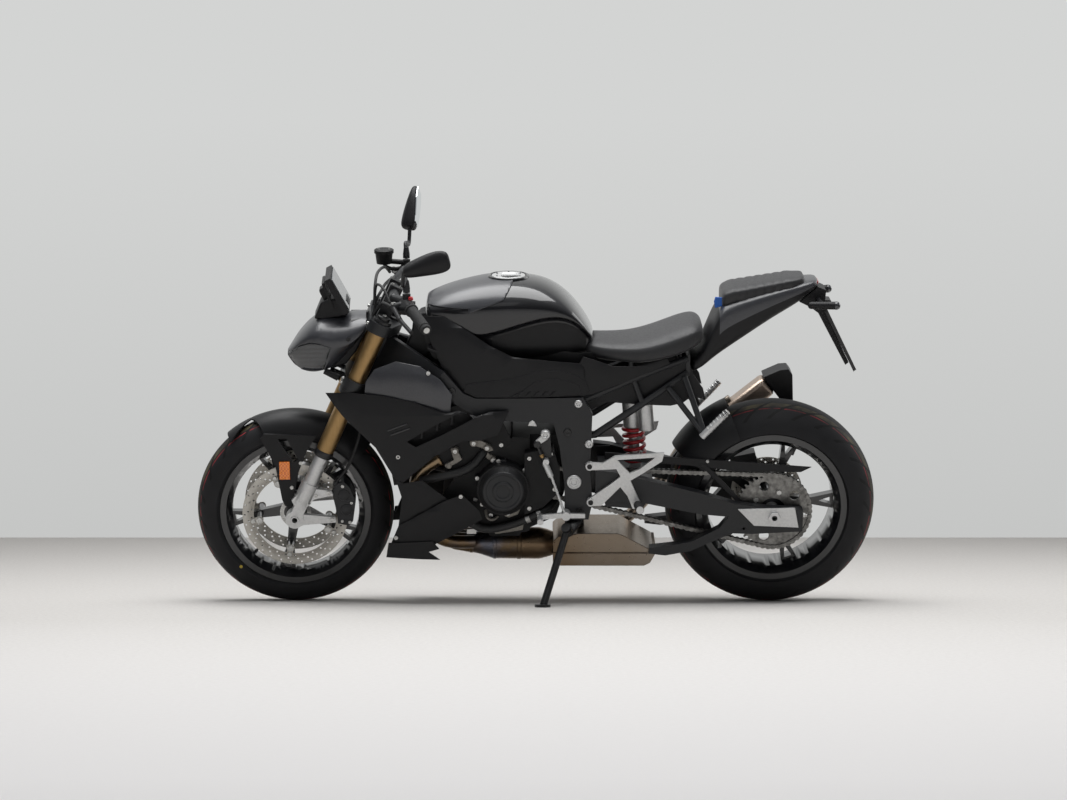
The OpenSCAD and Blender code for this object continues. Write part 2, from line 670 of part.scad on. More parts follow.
// Cover over the front of the tank, round the filler cap.
module tank_trim() color("#1e1f21") both_sides() intersection() {
    difference() {
        loft([for (q = tank_rings) tank_ring(q[0], q[1] + 6, q[2] + 4, q[3] * tank_half_w + 6, q[4],
            q[5] * tank_half_w + 4, q[6], q[7] * tank_half_w)]);
        loft([for (q = tank_rings) tank_ring(q[0] * 1.001, q[1] + 0.9, q[2] + 0.9,
            q[3] * tank_half_w + 0.9, q[4], q[5] * tank_half_w + 0.9, q[6] - 1, q[7] * tank_half_w
            + 0.9)]);
    }
    translate([0, 0, 900]) linear_extrude(200) polygon([[330, 2], [330, 90], [230, 112], [150, 104],
        [88, 70], [150, 50], [150, 2]]);
}

// Side panels under the tank, standing on the frame's spars and bowed a little in plan.
panel_bow = 1500;
module side_panels() color("#202123") both_sides() intersection() {
    plate([[322, 930], [300, 850], [270, 780.5], [206, 704.5], [170, 688.5], [-150, 690.5],
        [-176, 700], [-150, 790], [-60, 800],
           [60, 815], [130, 850], [190, 890], [262, 930]], 90, 200);
    translate([60, frame_half_w - panel_bow, 600]) difference() {
        cylinder(h = 400, r = panel_bow, $fn = 720);
        translate([0, 0, -1]) cylinder(h = 402, r = panel_bow - panel_t, $fn = 720);
    }
}

// Side fairing: winged panel beside the radiator, bowed in plan, with a louvre and its bosses.
fairing_bow = 900;
fairing_x = 260;
function fairing_y(x) = fairing_half_w - fairing_bow
    + sqrt(fairing_bow * fairing_bow - pow(x - fairing_x, 2));
module bowed_wall(h) difference() {
    cylinder(h = h, r = fairing_bow, center = true, $fn = 720);
    cylinder(h = h + 2, r = fairing_bow - panel_t, center = true, $fn = 720);
}
module fairing_shell() translate([fairing_x, fairing_half_w - fairing_bow, 450]) bowed_wall(900);
// The shoulder above the wing's crease leans in towards the tank.
shoulder_lean = 13;
crease_z = 690;
module shoulder_shell() translate([fairing_x, fairing_half_w - 2 - fairing_bow / cos(shoulder_lean),
    crease_z])
    rotate([shoulder_lean, 0, 0]) bowed_wall(900);
module side_fairings() color("#1c1d1f") both_sides() {
    intersection() {
        difference() {
            plate([[624, 694], [556, 716], [456, 712], [256, 656], [86, 660], [112, 618],
                [206, 566], [300, 500],
                   [384, 440], [262, 372], [150, 322], [190, 300], [300, 256], [430, 246],
                       [402, 300], [392, 386],
                   [410, 446], [468, 540], [566, 630], [590, 660]], 100, 260);
            plate([[360, 610], [300, 572], [268, 590], [330, 636]], 90, 270);
        }
        fairing_shell();
    }
    intersection() {
        plate([[500, 694], [496, 736], [470, 774], [406, 800], [333, 788], [272, 750], [238, 706],
            [244, 645],
               [300, 655], [456, 690]], 90, 260);
        shoulder_shell();
    }
    pin_y(150, 646, 8, frame_half_w + fit, fairing_y(150) - 2);
    pin_y(radiator_pos[0], radiator_pos[2], 8, radiator_w / 2 + fit, fairing_y(radiator_pos[0]) - 2);
}

module belly_pan() color("#1a1b1c") {
    both_sides() intersection() {
        plate([[440, 200], [433, 246 - fit], [430, 246 - fit], [300, 256 - fit], [280, 232],
            [312, 222], [278, 198]], 100, 260);
        fairing_shell();
    }
    plate([[412, 200], [416, 210], [346, 208], [340, 199]], 2 - fairing_y(412), fairing_y(412) - 2);
}

rail_y = spar_in - 11 - fit;
module subframe() color("#1c1d1e") {
    both_sides() {
        pipe([[-100, rail_y, 652], [-190, rail_y, 690], [-320, 116, 745], [-463, 98, 796]], 11, 10);
        pipe([[-120, rail_y, 560], [-186, rail_y, 566], [-330, 118, 662], [-463, 98, 752]], 11, 10);
        pipe([[-300, 117, 738], [-326, 118, 668]], 9, 8);
    }
    pin_y(-440, 790, 9, -98, 98);
    plate([[-458, 746], [-458, 806], [fit - 470, 806], [fit - 470, 746]], -104, 104);
    pin_y(-300, 735, 9, -112, 112);
}

// Rider's seat: crowned pad, narrow at the tank and wide at the back.
function seat_ring(x, top, edge, half) = [for (i = [0 : 19])
    let (a = 18 * i, c = cos(a), s = sin(a))
    [x, half * sign(s) * pow(abs(s), 0.7), c > 0 ? edge + (top - edge) * pow(c, 0.7) : edge + 26 * c]];
seat_rings = [[-190, 842, 822, 0.52], [-215, 844, 812, 0.66], [-265, 840, 802, 0.82],
    [-330, 850, 804, 0.96],
              [-395, 872, 818, 1.00], [-445, 892, 836, 0.98], [-482, 900, 852, 0.86],
                  [-504, 884, 862, 0.66]];
module rider_seat() color("#1d1d1e") {
    loft([for (q = seat_rings) seat_ring(q[0], q[1], q[2], q[3] * seat_half_w)]);
    both_sides() translate([-440, 60, 799 + fit]) cylinder(h = 24, r = 12);
}

// Tail: upswept shell that carries the pillion seat.
tail_rings = [[-470, 742, 784, 100], [-512, 764, 824, 106], [-532, 780, 884, 106],
    [-562, 802, 956, 104], [-640, 856, 985, 100], [-720, 912, 1003, 92],
              [-790, 950, 1016, 80], [-835, 988, 1022, 62], [-852, 1004, 1022, 46]];
module tail_body(grow) loft([for (q = tail_rings)
    half_ring(q[0], q[1] - grow, q[2] + grow, q[3] + grow, 0.6, 20)]);
module tail_fairing() color("#27282b") tail_body(0);

module pillion_seat() color("#161617") difference() {
    loft([for (q = [[-560, 930, 986, 78], [-600, 950, 1006, 86], [-690, 970, 1024, 84],
        [-770, 990, 1034, 70],
                    [-812, 1000, 1033, 50]]) half_ring(q[0], q[1], q[2], q[3], 0.5, 20)]);
    tail_body(fit);
}

module rear_indicators() color("#1b1b1c") both_sides() {
    rod([-852, 42.6, 962], [-856, 104, 959], 8);
    hull() {
        translate([-826, 104, 958]) sphere(r = 11, $fn = 24);
        translate([-898, 116, 960]) sphere(r = 12, $fn = 24);
    }
}

module plate_carrier() color("#18191a") {
    plate([[-796, 954.5], [-834, 986.5], [-850, 1001], [-876, 990], [-872, 930], [-950, 768],
        [-940, 760], [-854, 920], [-830, 938]], -42, 42);
}
module number_plate() color("#e6e6e2") translate([-910, 0, 846]) rotate([0, 26.5, 0]) translate([-8,
    0, 0]) cube([2, 180, 196], center = true);

// Rear end

arm_in = spar_in - 5;
arm_out = frame_half_w + 5;
pivot_r = 14;
// Threaded holes for paddock stand bobbins, low on the arms ahead of the axle.
bobbin_x = rear_x + 90;
bobbin_z = 285;
bobbin_r = 4;
bobbin_deep = 22;
module arm_outline() polygon([[-188, 468], [-240, 462], [-352, 434], [rear_x + 222, 396],
    [rear_x + 116, 362],
    [rear_x + 25, 350], [rear_x - 87, 344], [rear_x - 87, 276], [rear_x + 65, 268], [rear_x + 125, 270],
    [rear_x + 249, 214], [-400, 200], [-350, 206], [-352, 224], [-420, 232], [rear_x + 245, 244],
    [rear_x + 165, 286], [rear_x + 135, 322], [rear_x + 221, 330], [-330, 366], [-240, 372],
        [-188, 386]]);
module swingarm() color("#1b1c1d") difference() {
    union() {
        for (y = [arm_out, -arm_in]) translate([0, y, 0]) rotate([90, 0, 0])
            linear_extrude(arm_out - arm_in) arm_outline();
        plate([[-200, 430], [-330, 422], [-366, 400], [-330, 334],
            [-220, 344]], -arm_in - 1, arm_in + 1);
        pin_y(pivot_x, pivot_z, pivot_r, -frame_half_w, frame_half_w);
        pin_y(pivot_x, pivot_z, pivot_r + 3, -spar_in + fit, spar_in - fit);
        both_sides() plate([[-110, 456], [-240, 460], [-240, 375],
            [-110, 404]], arm_in - 7, spar_in - fit);
    }
    pin_y(rear_x, rear_z, axle_r + fit, -300, 300);
    both_sides() pin_y(bobbin_x, bobbin_z, bobbin_r, arm_out - bobbin_deep, arm_out + 1);
}

spacer_r = 21;
module rear_axle() color("#b4b5b6") difference() {
    union() {
        pin_y(rear_x, rear_z, axle_r, -arm_out - 22, arm_out + 22);
        both_sides() {
            pin_y(rear_x, rear_z, spacer_r, 87, arm_in - fit);
            plate([[rear_x + 110, 348], [rear_x + 60, 296], [rear_x - 74, 290],
                [rear_x - 62, 352]], arm_out + fit, arm_out + 6);
            translate([rear_x, arm_out + 6, rear_z]) rotate([-90, 0, 0]) cylinder(h = 16, r = 19,
                $fn = 6);
        }
    }
    pin_y(rear_x, rear_z, axle_bore_r, -300, 300);
}

shock_x = -300;
shock_eye_half = 14;
module shock_absorber() color("#a9abad") {
    rod([shock_x - 14, 0, 430], [shock_x - 0.5, 0, 652], 16);
    plate([[-332, 422.3], [-296, 424.5], [-300, 448], [-328, 448]], -22, 22);
    plate([[-316, 640], [-284, 640], [-288, 686], [-312, 686]], -shock_eye_half, shock_eye_half);
    rod([shock_x - 6, 0, 560], [shock_x, 0, 650], 30);
    rod([shock_x - 45, 42, 560], [shock_x - 38, 42, 640], 24);
    rod([shock_x - 3, 0, 604], [shock_x - 42, 42, 604], 11);
}
module shock_spring() color("#b3121c") difference() {
    rod([shock_x - 13, 0, 452], [shock_x - 6.5, 0, 555], 38);
    rod([shock_x - 13.7, 0, 440], [shock_x - 5.7, 0, 570], 17);
}

module chain_guard() color("#1a1b1c") {
    plate([[-216, 512], [rear_x + 221, 492], [rear_x - 113, 466], [rear_x - 81, 450],
        [rear_x + 105, 452],
           [rear_x + 245, 470], [-216, 490]], arm_in - 8, arm_in - 2);
    plate([[rear_x + 225, 476], [rear_x + 205, 476], [rear_x + 85, 352],
        [rear_x + 105, 352]], arm_in - 7, arm_in - fit);
}

module rear_hugger() color("#1d1e1f") {
    at_rear() arched_shell(rear_core, rear_crown + 26, 31, 66, 20);
    mirror([0, 1, 0]) plate([[rear_x + 225, 520], [rear_x + 255, 480], [rear_x + 305, 412],
        [rear_x + 279, 408]], 108, arm_in - fit);
}

// Chain: two scalloped side bands round both sprockets, joined by rollers along the straight runs.
chain_dx = gearbox_x - rear_x;
chain_dz = gearbox_z - rear_z;
chain_span = norm([chain_dx, chain_dz]);
chain_tilt = atan2(chain_dz, chain_dx);
chain_wrap = acos((rear_pitch_r - front_pitch_r) / chain_span);
chain_run = chain_span * sin(chain_wrap);
rear_arc = rear_pitch_r * (360 - 2 * chain_wrap) * PI / 180;
front_arc = front_pitch_r * 2 * chain_wrap * PI / 180;
chain_length = 2 * chain_run + rear_arc + front_arc;
links = 2 * round(chain_length / chain_pitch / 2);
function on_circle(c, r, a) = c + r * [cos(a), sin(a)];
// Point and outward direction at distance s round the loop, counted from the rear sprocket's upper tangent.
function chain_at(s) = let (up = chain_tilt + chain_wrap, low = chain_tilt - chain_wrap,
    rc = [rear_x, rear_z], fc = [gearbox_x, gearbox_z])
    s < chain_run ? [on_circle(rc, rear_pitch_r, up) + s / chain_run * (on_circle(fc, front_pitch_r,
        up) - on_circle(rc, rear_pitch_r, up)), up] :
    s < chain_run + front_arc
        ? let (a = up - (s - chain_run) / front_pitch_r * 180 / PI) [on_circle(fc, front_pitch_r, a),
        a] :
    s < 2 * chain_run + front_arc ? let (t = (s - chain_run - front_arc) / chain_run)
        [on_circle(fc, front_pitch_r, low) + t * (on_circle(rc, rear_pitch_r, low) - on_circle(fc,
            front_pitch_r, low)), low] :
    let (a = low - (s - 2 * chain_run - front_arc) / rear_pitch_r * 180 / PI) [on_circle(rc,
        rear_pitch_r, a), a];
function band_edge(side) = [for (i = [0 : 2 * links - 1])
    let (q = chain_at(i * chain_length / links / 2), half = i % 2 == 0 ? 8 : 5.5) on_circle(q[0],
        side * half, q[1])];
plate_gap = 10.5;
plate_t = 5;
module drive_chain() color("#77797b") {
    for (s = [1, -1]) translate([0, chain_y + s * (plate_gap + plate_t) / 2 + plate_t / 2, 0])
        rotate([90, 0, 0])
        linear_extrude(plate_t) difference() {
            polygon(band_edge(1));
            polygon(band_edge(-1));
        }
    for (i = [0 : links - 1]) {
        s = i * chain_length / links;
        q = chain_at(s)[0];
        if ((s > 60 && s < chain_run) || (s > chain_run + front_arc && s < 2 * chain_run
            + front_arc - 60))
            translate([q[0], chain_y, q[1]]) rotate([90, 0, 0]) cylinder(h = plate_gap + 2, r = 5,
                center = true, $fn = 6);
    }
}

// Exhaust: four headers into a collector and a flat box under the engine.
port_dir = unit([135, 0, -83]);
port = [276.5, 0, 492.5] + fit * port_dir;
module exhaust() color("#8c7f6e") {
    for (i = [0 : 3]) {
        y = -120 + 80 * i;
        start = port + [0, y, 0];
        pipe(concat([start], smooth([start + 12 * port_dir, [332, y, 452], [354, y, 396], [348, y, 326],
                                     [318, y * 0.8, 262], [262, y * 0.5, 212],
                                         [180, y * 0.3, 200]], 3)), 20, 12);
        rod(start, start + 7 * port_dir, 29);
    }
    plate([[-158, 240], [-130, 240], [-130, 314 - fit], [-158, 314 - fit]], -8, 8);
    difference() {
        rod([196, 0, 190], [110, 0, 186], 44);
        rod([193, 0, 190], [113, 0, 186], 42);
    }
    difference() {
        union() {
            rod([112, 0, 186], [-78, 0, 190], 40);
            plate([[-70, 143], [-352, 146], [-374, 184], [-340, 204], [-268, 246], [-130, 246],
                [-78, 236]],
                  -box_half, box_half);
        }
        rod([110, 0, 186], [-76, 0, 190], 38);
        plate([[-75, 146], [-350, 149], [-370, 184], [-338, 201], [-267, 243], [-131, 243], [-80, 234]],
              3 - box_half, box_half - 3);
    }
}
box_half = 104;

module tail_silencer() color("#b7a48d") {
    pipe(smooth([[-252, -box_half - 1.8, 195], [-252, -134, 195], [-268, -178, 199],
        [-310, -204, 214], [-400, -212, 320], [-490, -206, 460],
                 [-590, -192, 566]], 4), 20, 14);
    pipe(smooth([[-586, -192, 562], [-660, -190, 626], [-716, -190, 664]], 3), 20, 14);
    pipe(smooth([[-694, -190, 650], [-722, -190, 668], [-756, -190, 672], [-782, -190, 656],
        [-800, -190, 640]], 3),
         [for (i = [0 : 12]) 24 + 21 * sin(min(i / 8, 1) * 90)], 18);
}

// Foot controls

module hanger() difference() {
    union() {
        plate([[-164, 496], [-210, 494], [-246, 516], [-392, 526], [-386, 500], [-322, 458],
            [-292, 440], [-322, 372],
               [-330, 352], [-300, 352], [-284, 392], [-262, 420], [-206, 362], [-168, 360],
                   [-170, 384], [-232, 428], [-262, 452], [-250, 476], [-206, 474], [-164, 472]],
              frame_half_w + 8, frame_half_w + 20);
        pin_y(-170, 484, 12, frame_half_w + fit, frame_half_w + 22);
        pin_y(-174, 372, 12, frame_half_w + fit, frame_half_w + 22);
    }
    plate([[-252, 504], [-366, 512], [-320, 476], [-290, 462]], 0, 300);
}
module peg_hangers() color("#c8c9ca") both_sides() {
    hanger();
    rod([-314, frame_half_w + 10, 366], [-318, frame_half_w + 112, 376], 11);
}

module foot_controls() color("#b9babb") {
    plate([[-14, 322], [-14, 337], [-84, 343], [-157, 341], [-157, 328], [-84, 328]], 192, 202);
    pin_y(-100, 334, 13, frame_half_w + fit, 205);
    pin_y(-23, 329.5, 9, 198, 248);
    rod([-98, 197, 336], [-41, 197, 500], 4);
    pin_y(-40, 503, 9, case_half + 40 + fit, 205);
    mirror([0, 1, 0]) {
        plate([[-4, 312], [-4, 328], [-160, 349], [-160, 332]], 203, 212);
        pin_y(-12, 320.5, 9, 208, 254);
        pin_y(-158, 340.5, 13, frame_half_w + fit, 215);
    }
}

module pillion_pegs() both_sides() {
    color("#1a1b1c") {
        rod([-404, 127.4, 712], [-510, 170, 580], 9);
        rod([-452, 120, 744], [-512, 170, 580], 9);
    }
    color("#cfcfcf") rod([-504, 176, 574], [-578, 180, 652], 10);
}

module rear_caliper() color("#141415") mirror([0, 1, 0]) difference() {
    union() {
        plate([[rear_x + 30, 412], [rear_x + 110, 400], [rear_x + 118, 440],
            [rear_x + 40, 456]], rear_disc_y - 28, arm_in - 12);
        plate([[rear_x + 32, rear_z - 18], [rear_x + 104, 420], [rear_x + 36, 432],
            [rear_x - 28, rear_z + 20],
               [rear_x - 26, rear_z - 24], [rear_x, rear_z - 36]], rear_disc_y + 14, arm_in - fit);
    }
    at_rear() about_axle() translate([0, 0, -rear_disc_y - 8]) cylinder(h = 16, r = rear_disc_r + 8);
    pin_y(rear_x, rear_z, spacer_r + fit, 0, 300);
}

// Side stand, drawn with the leg down; its foot lies flat on the leaning bike's ground.
stand_pivot = [-104, 188, 288];
foot_x = -30;
foot_y = 318;
foot_t = 8;
function ground_z(y) = y * tan(lean);
stand_foot = [foot_x, foot_y, ground_z(foot_y) + foot_t];
// The leg swings from its foot to a folded line along the bike, about the axis square to both.
stand_folded = [-0.97, 0.15, 0.19];
stand_axis = unit(cross(unit(stand_foot - stand_pivot), stand_folded));
stand_boss_r = 16;
stand_pin_r = 8;
module about_stand() translate(stand_pivot)
    rotate([0, acos(stand_axis[2]), atan2(stand_axis[1], stand_axis[0])]) children();
module stand_bracket() color("#18191a") {
    hull() {
        plate([[-150, 312], [-100, 312], [-100, 296], [-150, 296]], spar_in + 2, spar_in + 11);
        about_stand() translate([0, 0, -22]) cylinder(h = 8, r = stand_boss_r, $fn = 32);
    }
    about_stand() translate([0, 0, -20]) cylinder(h = 36, r = stand_pin_r);
    about_stand() translate([0, 0, 14]) cylinder(h = 6, r = stand_boss_r - 2);
}
module side_stand() color("#161718") {
    difference() {
        union() {
            about_stand() translate([0, 0, -13]) cylinder(h = 26, r = stand_boss_r);
            rod(stand_pivot, stand_foot - [2, 3, 4], 11);
        }
        about_stand() translate([0, 0, -30]) cylinder(h = 60, r = stand_pin_r + fit);
    }
    translate([foot_x, foot_y, ground_z(foot_y)]) rotate([lean, 0, 0]) cylinder(h = foot_t, r = 24);
}

// Nodes

parked() steered() front_tyre();
parked() steered() front_rim();
parked() steered() front_discs();
parked() rear_tyre();
parked() rear_rim();
parked() rear_sprocket();
parked() rear_disc();
parked() steered() fork_outer_tubes();
parked() steered() fork_lower_legs();
parked() steered() fork_yokes();
parked() steered() front_axle();
parked() steered() front_mudguard();
parked() steered() front_reflectors();
parked() steered() front_calipers();
parked() steered() handlebar();
parked() steered() grips();
parked() steered() bar_controls();
parked() steered() mirrors();
parked() steered() mirror_glass();
parked() steered() headlight_mask();
parked() steered() headlight_lens();
parked() steered() display();
parked() steered() front_indicators();
parked() main_frame();
parked() engine();
parked() engine_covers();
parked() radiator();
parked() fuel_tank();
parked() tank_trim();
parked() fuel_cap();
parked() side_panels();
parked() side_fairings();
parked() belly_pan();
parked() subframe();
parked() rider_seat();
parked() pillion_seat();
parked() tail_fairing();
parked() rear_indicators();
parked() plate_carrier();
parked() number_plate();
parked() swingarm();
parked() shock_absorber();
parked() shock_spring();
parked() chain_guard();
parked() rear_hugger();
parked() drive_chain();
parked() exhaust();
parked() tail_silencer();
parked() peg_hangers();
parked() foot_controls();
parked() pillion_pegs();
parked() rear_caliper();
parked() rear_axle();
parked() stand_bracket();
parked() side_stand();
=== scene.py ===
# %% [markdown]
# # A naked roadster, parked on its side stand
# The CAD model fixes every place and size of this motorcycle. Here it gets its looks: paint, rubber, vinyl and
# metal finishes, and the shapes that are easier to make with a modeller's tools than with solids.
# We load the CAD model once.

# %% Load the frame
import json
from math import atan2, cos, hypot, pi, radians, sin, sqrt

import bmesh
import bpy
from mathutils import Matrix, Vector


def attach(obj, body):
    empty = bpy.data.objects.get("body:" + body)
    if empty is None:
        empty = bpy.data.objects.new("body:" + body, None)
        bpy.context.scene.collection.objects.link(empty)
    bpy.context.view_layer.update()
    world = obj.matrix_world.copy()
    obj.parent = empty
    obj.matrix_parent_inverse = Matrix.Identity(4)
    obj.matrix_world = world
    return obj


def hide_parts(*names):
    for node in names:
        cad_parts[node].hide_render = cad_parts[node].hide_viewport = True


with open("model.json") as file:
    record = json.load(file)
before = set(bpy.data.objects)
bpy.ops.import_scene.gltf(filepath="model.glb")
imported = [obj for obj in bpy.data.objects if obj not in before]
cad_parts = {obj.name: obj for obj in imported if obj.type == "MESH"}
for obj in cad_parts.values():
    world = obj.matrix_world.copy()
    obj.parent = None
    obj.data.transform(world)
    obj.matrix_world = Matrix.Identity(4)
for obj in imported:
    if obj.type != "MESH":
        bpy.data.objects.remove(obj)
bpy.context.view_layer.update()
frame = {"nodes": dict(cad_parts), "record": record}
nodes = frame["nodes"]

# %% [markdown]
# ## The camera
# The photograph looks at the left side, level, from about eight metres. A long lens from far away keeps the two
# wheels nearly round. The horizon lies a little under the picture's middle, so the lens is shifted, not tilted.

# %% Camera
scene = bpy.context.scene
PICTURE = (1067, 800)
FOCAL_PX = 2580.6
HORIZON_PX = 424
camera_data = bpy.data.cameras.new("camera")
camera_data.sensor_fit = "HORIZONTAL"
camera_data.sensor_width = 36
camera_data.lens = FOCAL_PX * camera_data.sensor_width / PICTURE[0]
camera_data.shift_y = (HORIZON_PX - PICTURE[1] / 2) / PICTURE[0]
camera_data.clip_end = 100
camera = bpy.data.objects.new("camera", camera_data)
camera.location = (0.0072, 7.766, 0.544)
camera.rotation_euler = (radians(90), 0, radians(180))
scene.collection.objects.link(camera)
scene.camera = camera
scene.view_settings.view_transform = "Standard"
print("camera lens", round(camera_data.lens, 1), "mm, shift", round(camera_data.shift_y, 4))

# %% [markdown]
# ## Colours and nodes
# Colours are picked as sRGB hex values, but shaders work in linear light, so one function converts them. One more
# small function adds a node with its settings and links. It keeps the materials below short enough to read.

# %% Colour and node helpers
def linear(hex_colour):
    parts = [int(hex_colour[i:i + 2], 16) / 255 for i in (1, 3, 5)]
    return [c / 12.92 if c <= 0.04045 else ((c + 0.055) / 1.055) ** 2.4 for c in parts] + [1.0]


def add(tree, kind, inputs=None, **settings):
    node = tree.nodes.new("ShaderNode" + kind)
    for name, value in settings.items():
        setattr(node, name, value)
    for name, value in (inputs or {}).items():
        if isinstance(value, bpy.types.NodeSocket):
            tree.links.new(value, node.inputs[name])
        else:
            node.inputs[name].default_value = value
    return node


def new_finish(name, **shader_values):
    material = bpy.data.materials.new(name)
    material.use_nodes = True
    tree = material.node_tree
    shader = tree.nodes["Principled BSDF"]
    for socket, value in shader_values.items():
        shader.inputs[socket.replace("_", " ")].default_value = value
    place = add(tree, "TexCoord").outputs["Object"]
    return material, tree, shader, place


# Objects are in metres, so a pattern that repeats every so many millimetres has this scale.
def per_mm(size_mm):
    return 1000 / size_mm


# Most finishes are two near colours that a noise of some grain mixes; its relief is a bump's strength and depth.
def speckled(name, dark, light, grain_mm, detail=4.0, low=0.0, relief=None, **shader_values):
    material, tree, shader, place = new_finish(name, **shader_values)
    grain = add(tree, "TexNoise", {"Vector": place, "Scale": per_mm(grain_mm), "Detail": detail})
    colour = add(tree, "ValToRGB", {"Fac": grain.outputs["Fac"]})
    colour.color_ramp.elements[0].position = low
    colour.color_ramp.elements[0].color, colour.color_ramp.elements[1].color = linear(dark), linear(light)
    tree.links.new(colour.outputs["Color"], shader.inputs["Base Color"])
    if relief:
        bump = add(tree, "Bump", {"Height": grain.outputs["Fac"], "Strength": relief[0], "Distance": relief[1]})
        tree.links.new(bump.outputs["Normal"], shader.inputs["Normal"])
    return material


print("black paint in linear light", [round(c, 4) for c in linear("#0c0c0e")[:3]])

# %% [markdown]
# ## Floor and light
# The bike stands on a plain pale floor in front of a plain pale wall. A broad soft box overhead gives black paint its
# grey sheen along the upper edges; weaker lamps at the front and the back draw the outlines. The wall's grey is its own
# colour, shown to the eye and to reflections alone, so that it needs no extra lamp; its lightening towards the top is
# painted light, and so is the floor's paling towards the camera.

# %% Floor, wall and lamps
def verts_of(geom):
    return [g for g in geom if isinstance(g, bmesh.types.BMVert)]


def floor_and_wall():
    bm = bmesh.new()
    near, far, top = 14.0, -4.55, 9.0
    profile = [bm.verts.new((-20, *p)) for p in ((near, 0), (far, 0), (far, top))]
    edges = [bm.edges.new(pair) for pair in zip(profile, profile[1:])]
    swept = bmesh.ops.extrude_edge_only(bm, edges=edges)["geom"]
    bmesh.ops.translate(bm, vec=(40, 0, 0), verts=verts_of(swept))
    bmesh.ops.recalc_face_normals(bm, faces=bm.faces)
    mesh = bpy.data.meshes.new("floor")
    bm.to_mesh(mesh)
    bm.free()
    obj = bpy.data.objects.new("floor", mesh)
    scene.collection.objects.link(obj)
    return obj


floor = floor_and_wall()
screed, tree, shader, place = new_finish("pale_screed", Roughness=0.9, Specular_IOR_Level=0.15)
grit = add(tree, "TexNoise", {"Vector": place, "Scale": per_mm(14), "Detail": 8.0, "Roughness": 0.75})
tone = add(tree, "ValToRGB", {"Fac": grit.outputs["Fac"]})
tone.color_ramp.elements[0].position, tone.color_ramp.elements[1].position = 0.3, 0.7
tone.color_ramp.elements[0].color = linear("#bab7b4")
tone.color_ramp.elements[1].color = linear("#cbc9c6")
axes = add(tree, "SeparateXYZ", {"Vector": place})
# Painted light: the floor is painted paler towards the camera, where more light falls on it, as in the photograph.
painted_light_nearer = add(tree, "MapRange", {"Value": axes.outputs["Y"], "From Min": 0.6, "From Max": 3.8})
tone = add(tree, "MixRGB", {"Fac": painted_light_nearer.outputs["Result"], "Color1": tone.outputs["Color"],
                            "Color2": linear("#e6e4e3")})
tree.links.new(tone.outputs["Color"], shader.inputs["Base Color"])
# The far wall shows its own plain grey to the eye and in mirror-like surfaces; painted light makes it a little lighter
# towards the top.
height = add(tree, "MapRange", {"Value": axes.outputs["Z"], "From Max": 2.0})
grey = add(tree, "ValToRGB", {"Fac": height.outputs["Result"]})
grey.color_ramp.elements[0].color = linear("#c5c6c5")
grey.color_ramp.elements[1].color = linear("#d3d4d3")
glow = add(tree, "Emission", {"Color": grey.outputs["Color"]})
far = add(tree, "Math", {0: axes.outputs["Z"], 1: 0.002}, operation="GREATER_THAN")
rays = add(tree, "LightPath")
seen = add(tree, "Math", {0: rays.outputs["Is Camera Ray"], 1: rays.outputs["Is Glossy Ray"]}, operation="MAXIMUM")
seen = add(tree, "Math", {0: seen.outputs["Value"], 1: rays.outputs["Is Transmission Ray"]}, operation="MAXIMUM")
share = add(tree, "Math", {0: seen.outputs["Value"], 1: far.outputs["Value"]}, operation="MULTIPLY")
wall = add(tree, "MixShader", {0: share.outputs["Value"], 1: shader.outputs["BSDF"], 2: glow.outputs["Emission"]})
tree.links.new(wall.outputs["Shader"], tree.nodes["Material Output"].inputs["Surface"])
floor.data.materials.append(screed)

world = bpy.data.worlds.new("studio")
world.use_nodes = True
tree = world.node_tree
axes = add(tree, "SeparateXYZ", {"Vector": add(tree, "TexCoord").outputs["Generated"]})
ceiling = add(tree, "ValToRGB", {"Fac": axes.outputs["Z"]})
ceiling.color_ramp.elements[0].color = linear("#4b4d51")
ceiling.color_ramp.elements[1].color = linear("#f4f6f8")
tree.links.new(ceiling.outputs["Color"], tree.nodes["Background"].inputs["Color"])
tree.nodes["Background"].inputs["Strength"].default_value = 0.6
scene.world = world


def soft_box(name, size, watts, place, aim):
    lamp = bpy.data.lights.new(name, "AREA")
    lamp.shape = "RECTANGLE"
    lamp.size, lamp.size_y = size
    lamp.energy = watts
    obj = bpy.data.objects.new(name, lamp)
    obj.location = place
    obj.rotation_euler = (Vector(aim) - Vector(place)).to_track_quat("-Z", "Y").to_euler()
    scene.collection.objects.link(obj)
    return obj


soft_box("overhead_box", (5.0, 3.4), 285, (0.2, 0.4, 4.6), (0, 0, 0.4))
soft_box("camera_side_box", (4.0, 2.2), 11, (1.8, 6.0, 3.2), (0, 0, 0.5))
soft_box("rear_box", (3.0, 2.0), 35, (-4.2, -1.6, 2.6), (-0.3, 0, 0.6))

# %% [markdown]
# ## Moulded plastics
# Most of the dark panels are injection-moulded ABS. A moulding tool is etched, so the plastic has a fine grain that
# breaks up reflections. The real grain is well under a millimetre, too fine for this camera, so it is drawn coarser.

# %% Matt black plastic
matt_black_plastic, tree, shader, place = new_finish("matt_black_plastic", Roughness=0.46, IOR=1.5,
                                                     Specular_IOR_Level=0.28)
grain = add(tree, "TexNoise", {"Vector": place, "Scale": per_mm(4), "Detail": 3.0})
shade = add(tree, "TexNoise", {"Vector": place, "Scale": per_mm(160), "Detail": 2.0})
colour = add(tree, "ValToRGB", {"Fac": shade.outputs["Fac"]})
colour.color_ramp.elements[0].color = linear("#0d0d0f")
colour.color_ramp.elements[1].color = linear("#151517")
rough = add(tree, "MapRange", {"Value": grain.outputs["Fac"], "To Min": 0.36, "To Max": 0.54})
bump = add(tree, "Bump", {"Height": grain.outputs["Fac"], "Strength": 0.12, "Distance": 0.0004})
tree.links.new(colour.outputs["Color"], shader.inputs["Base Color"])
tree.links.new(rough.outputs["Result"], shader.inputs["Roughness"])
tree.links.new(bump.outputs["Normal"], shader.inputs["Normal"])
print("made", matt_black_plastic.name)

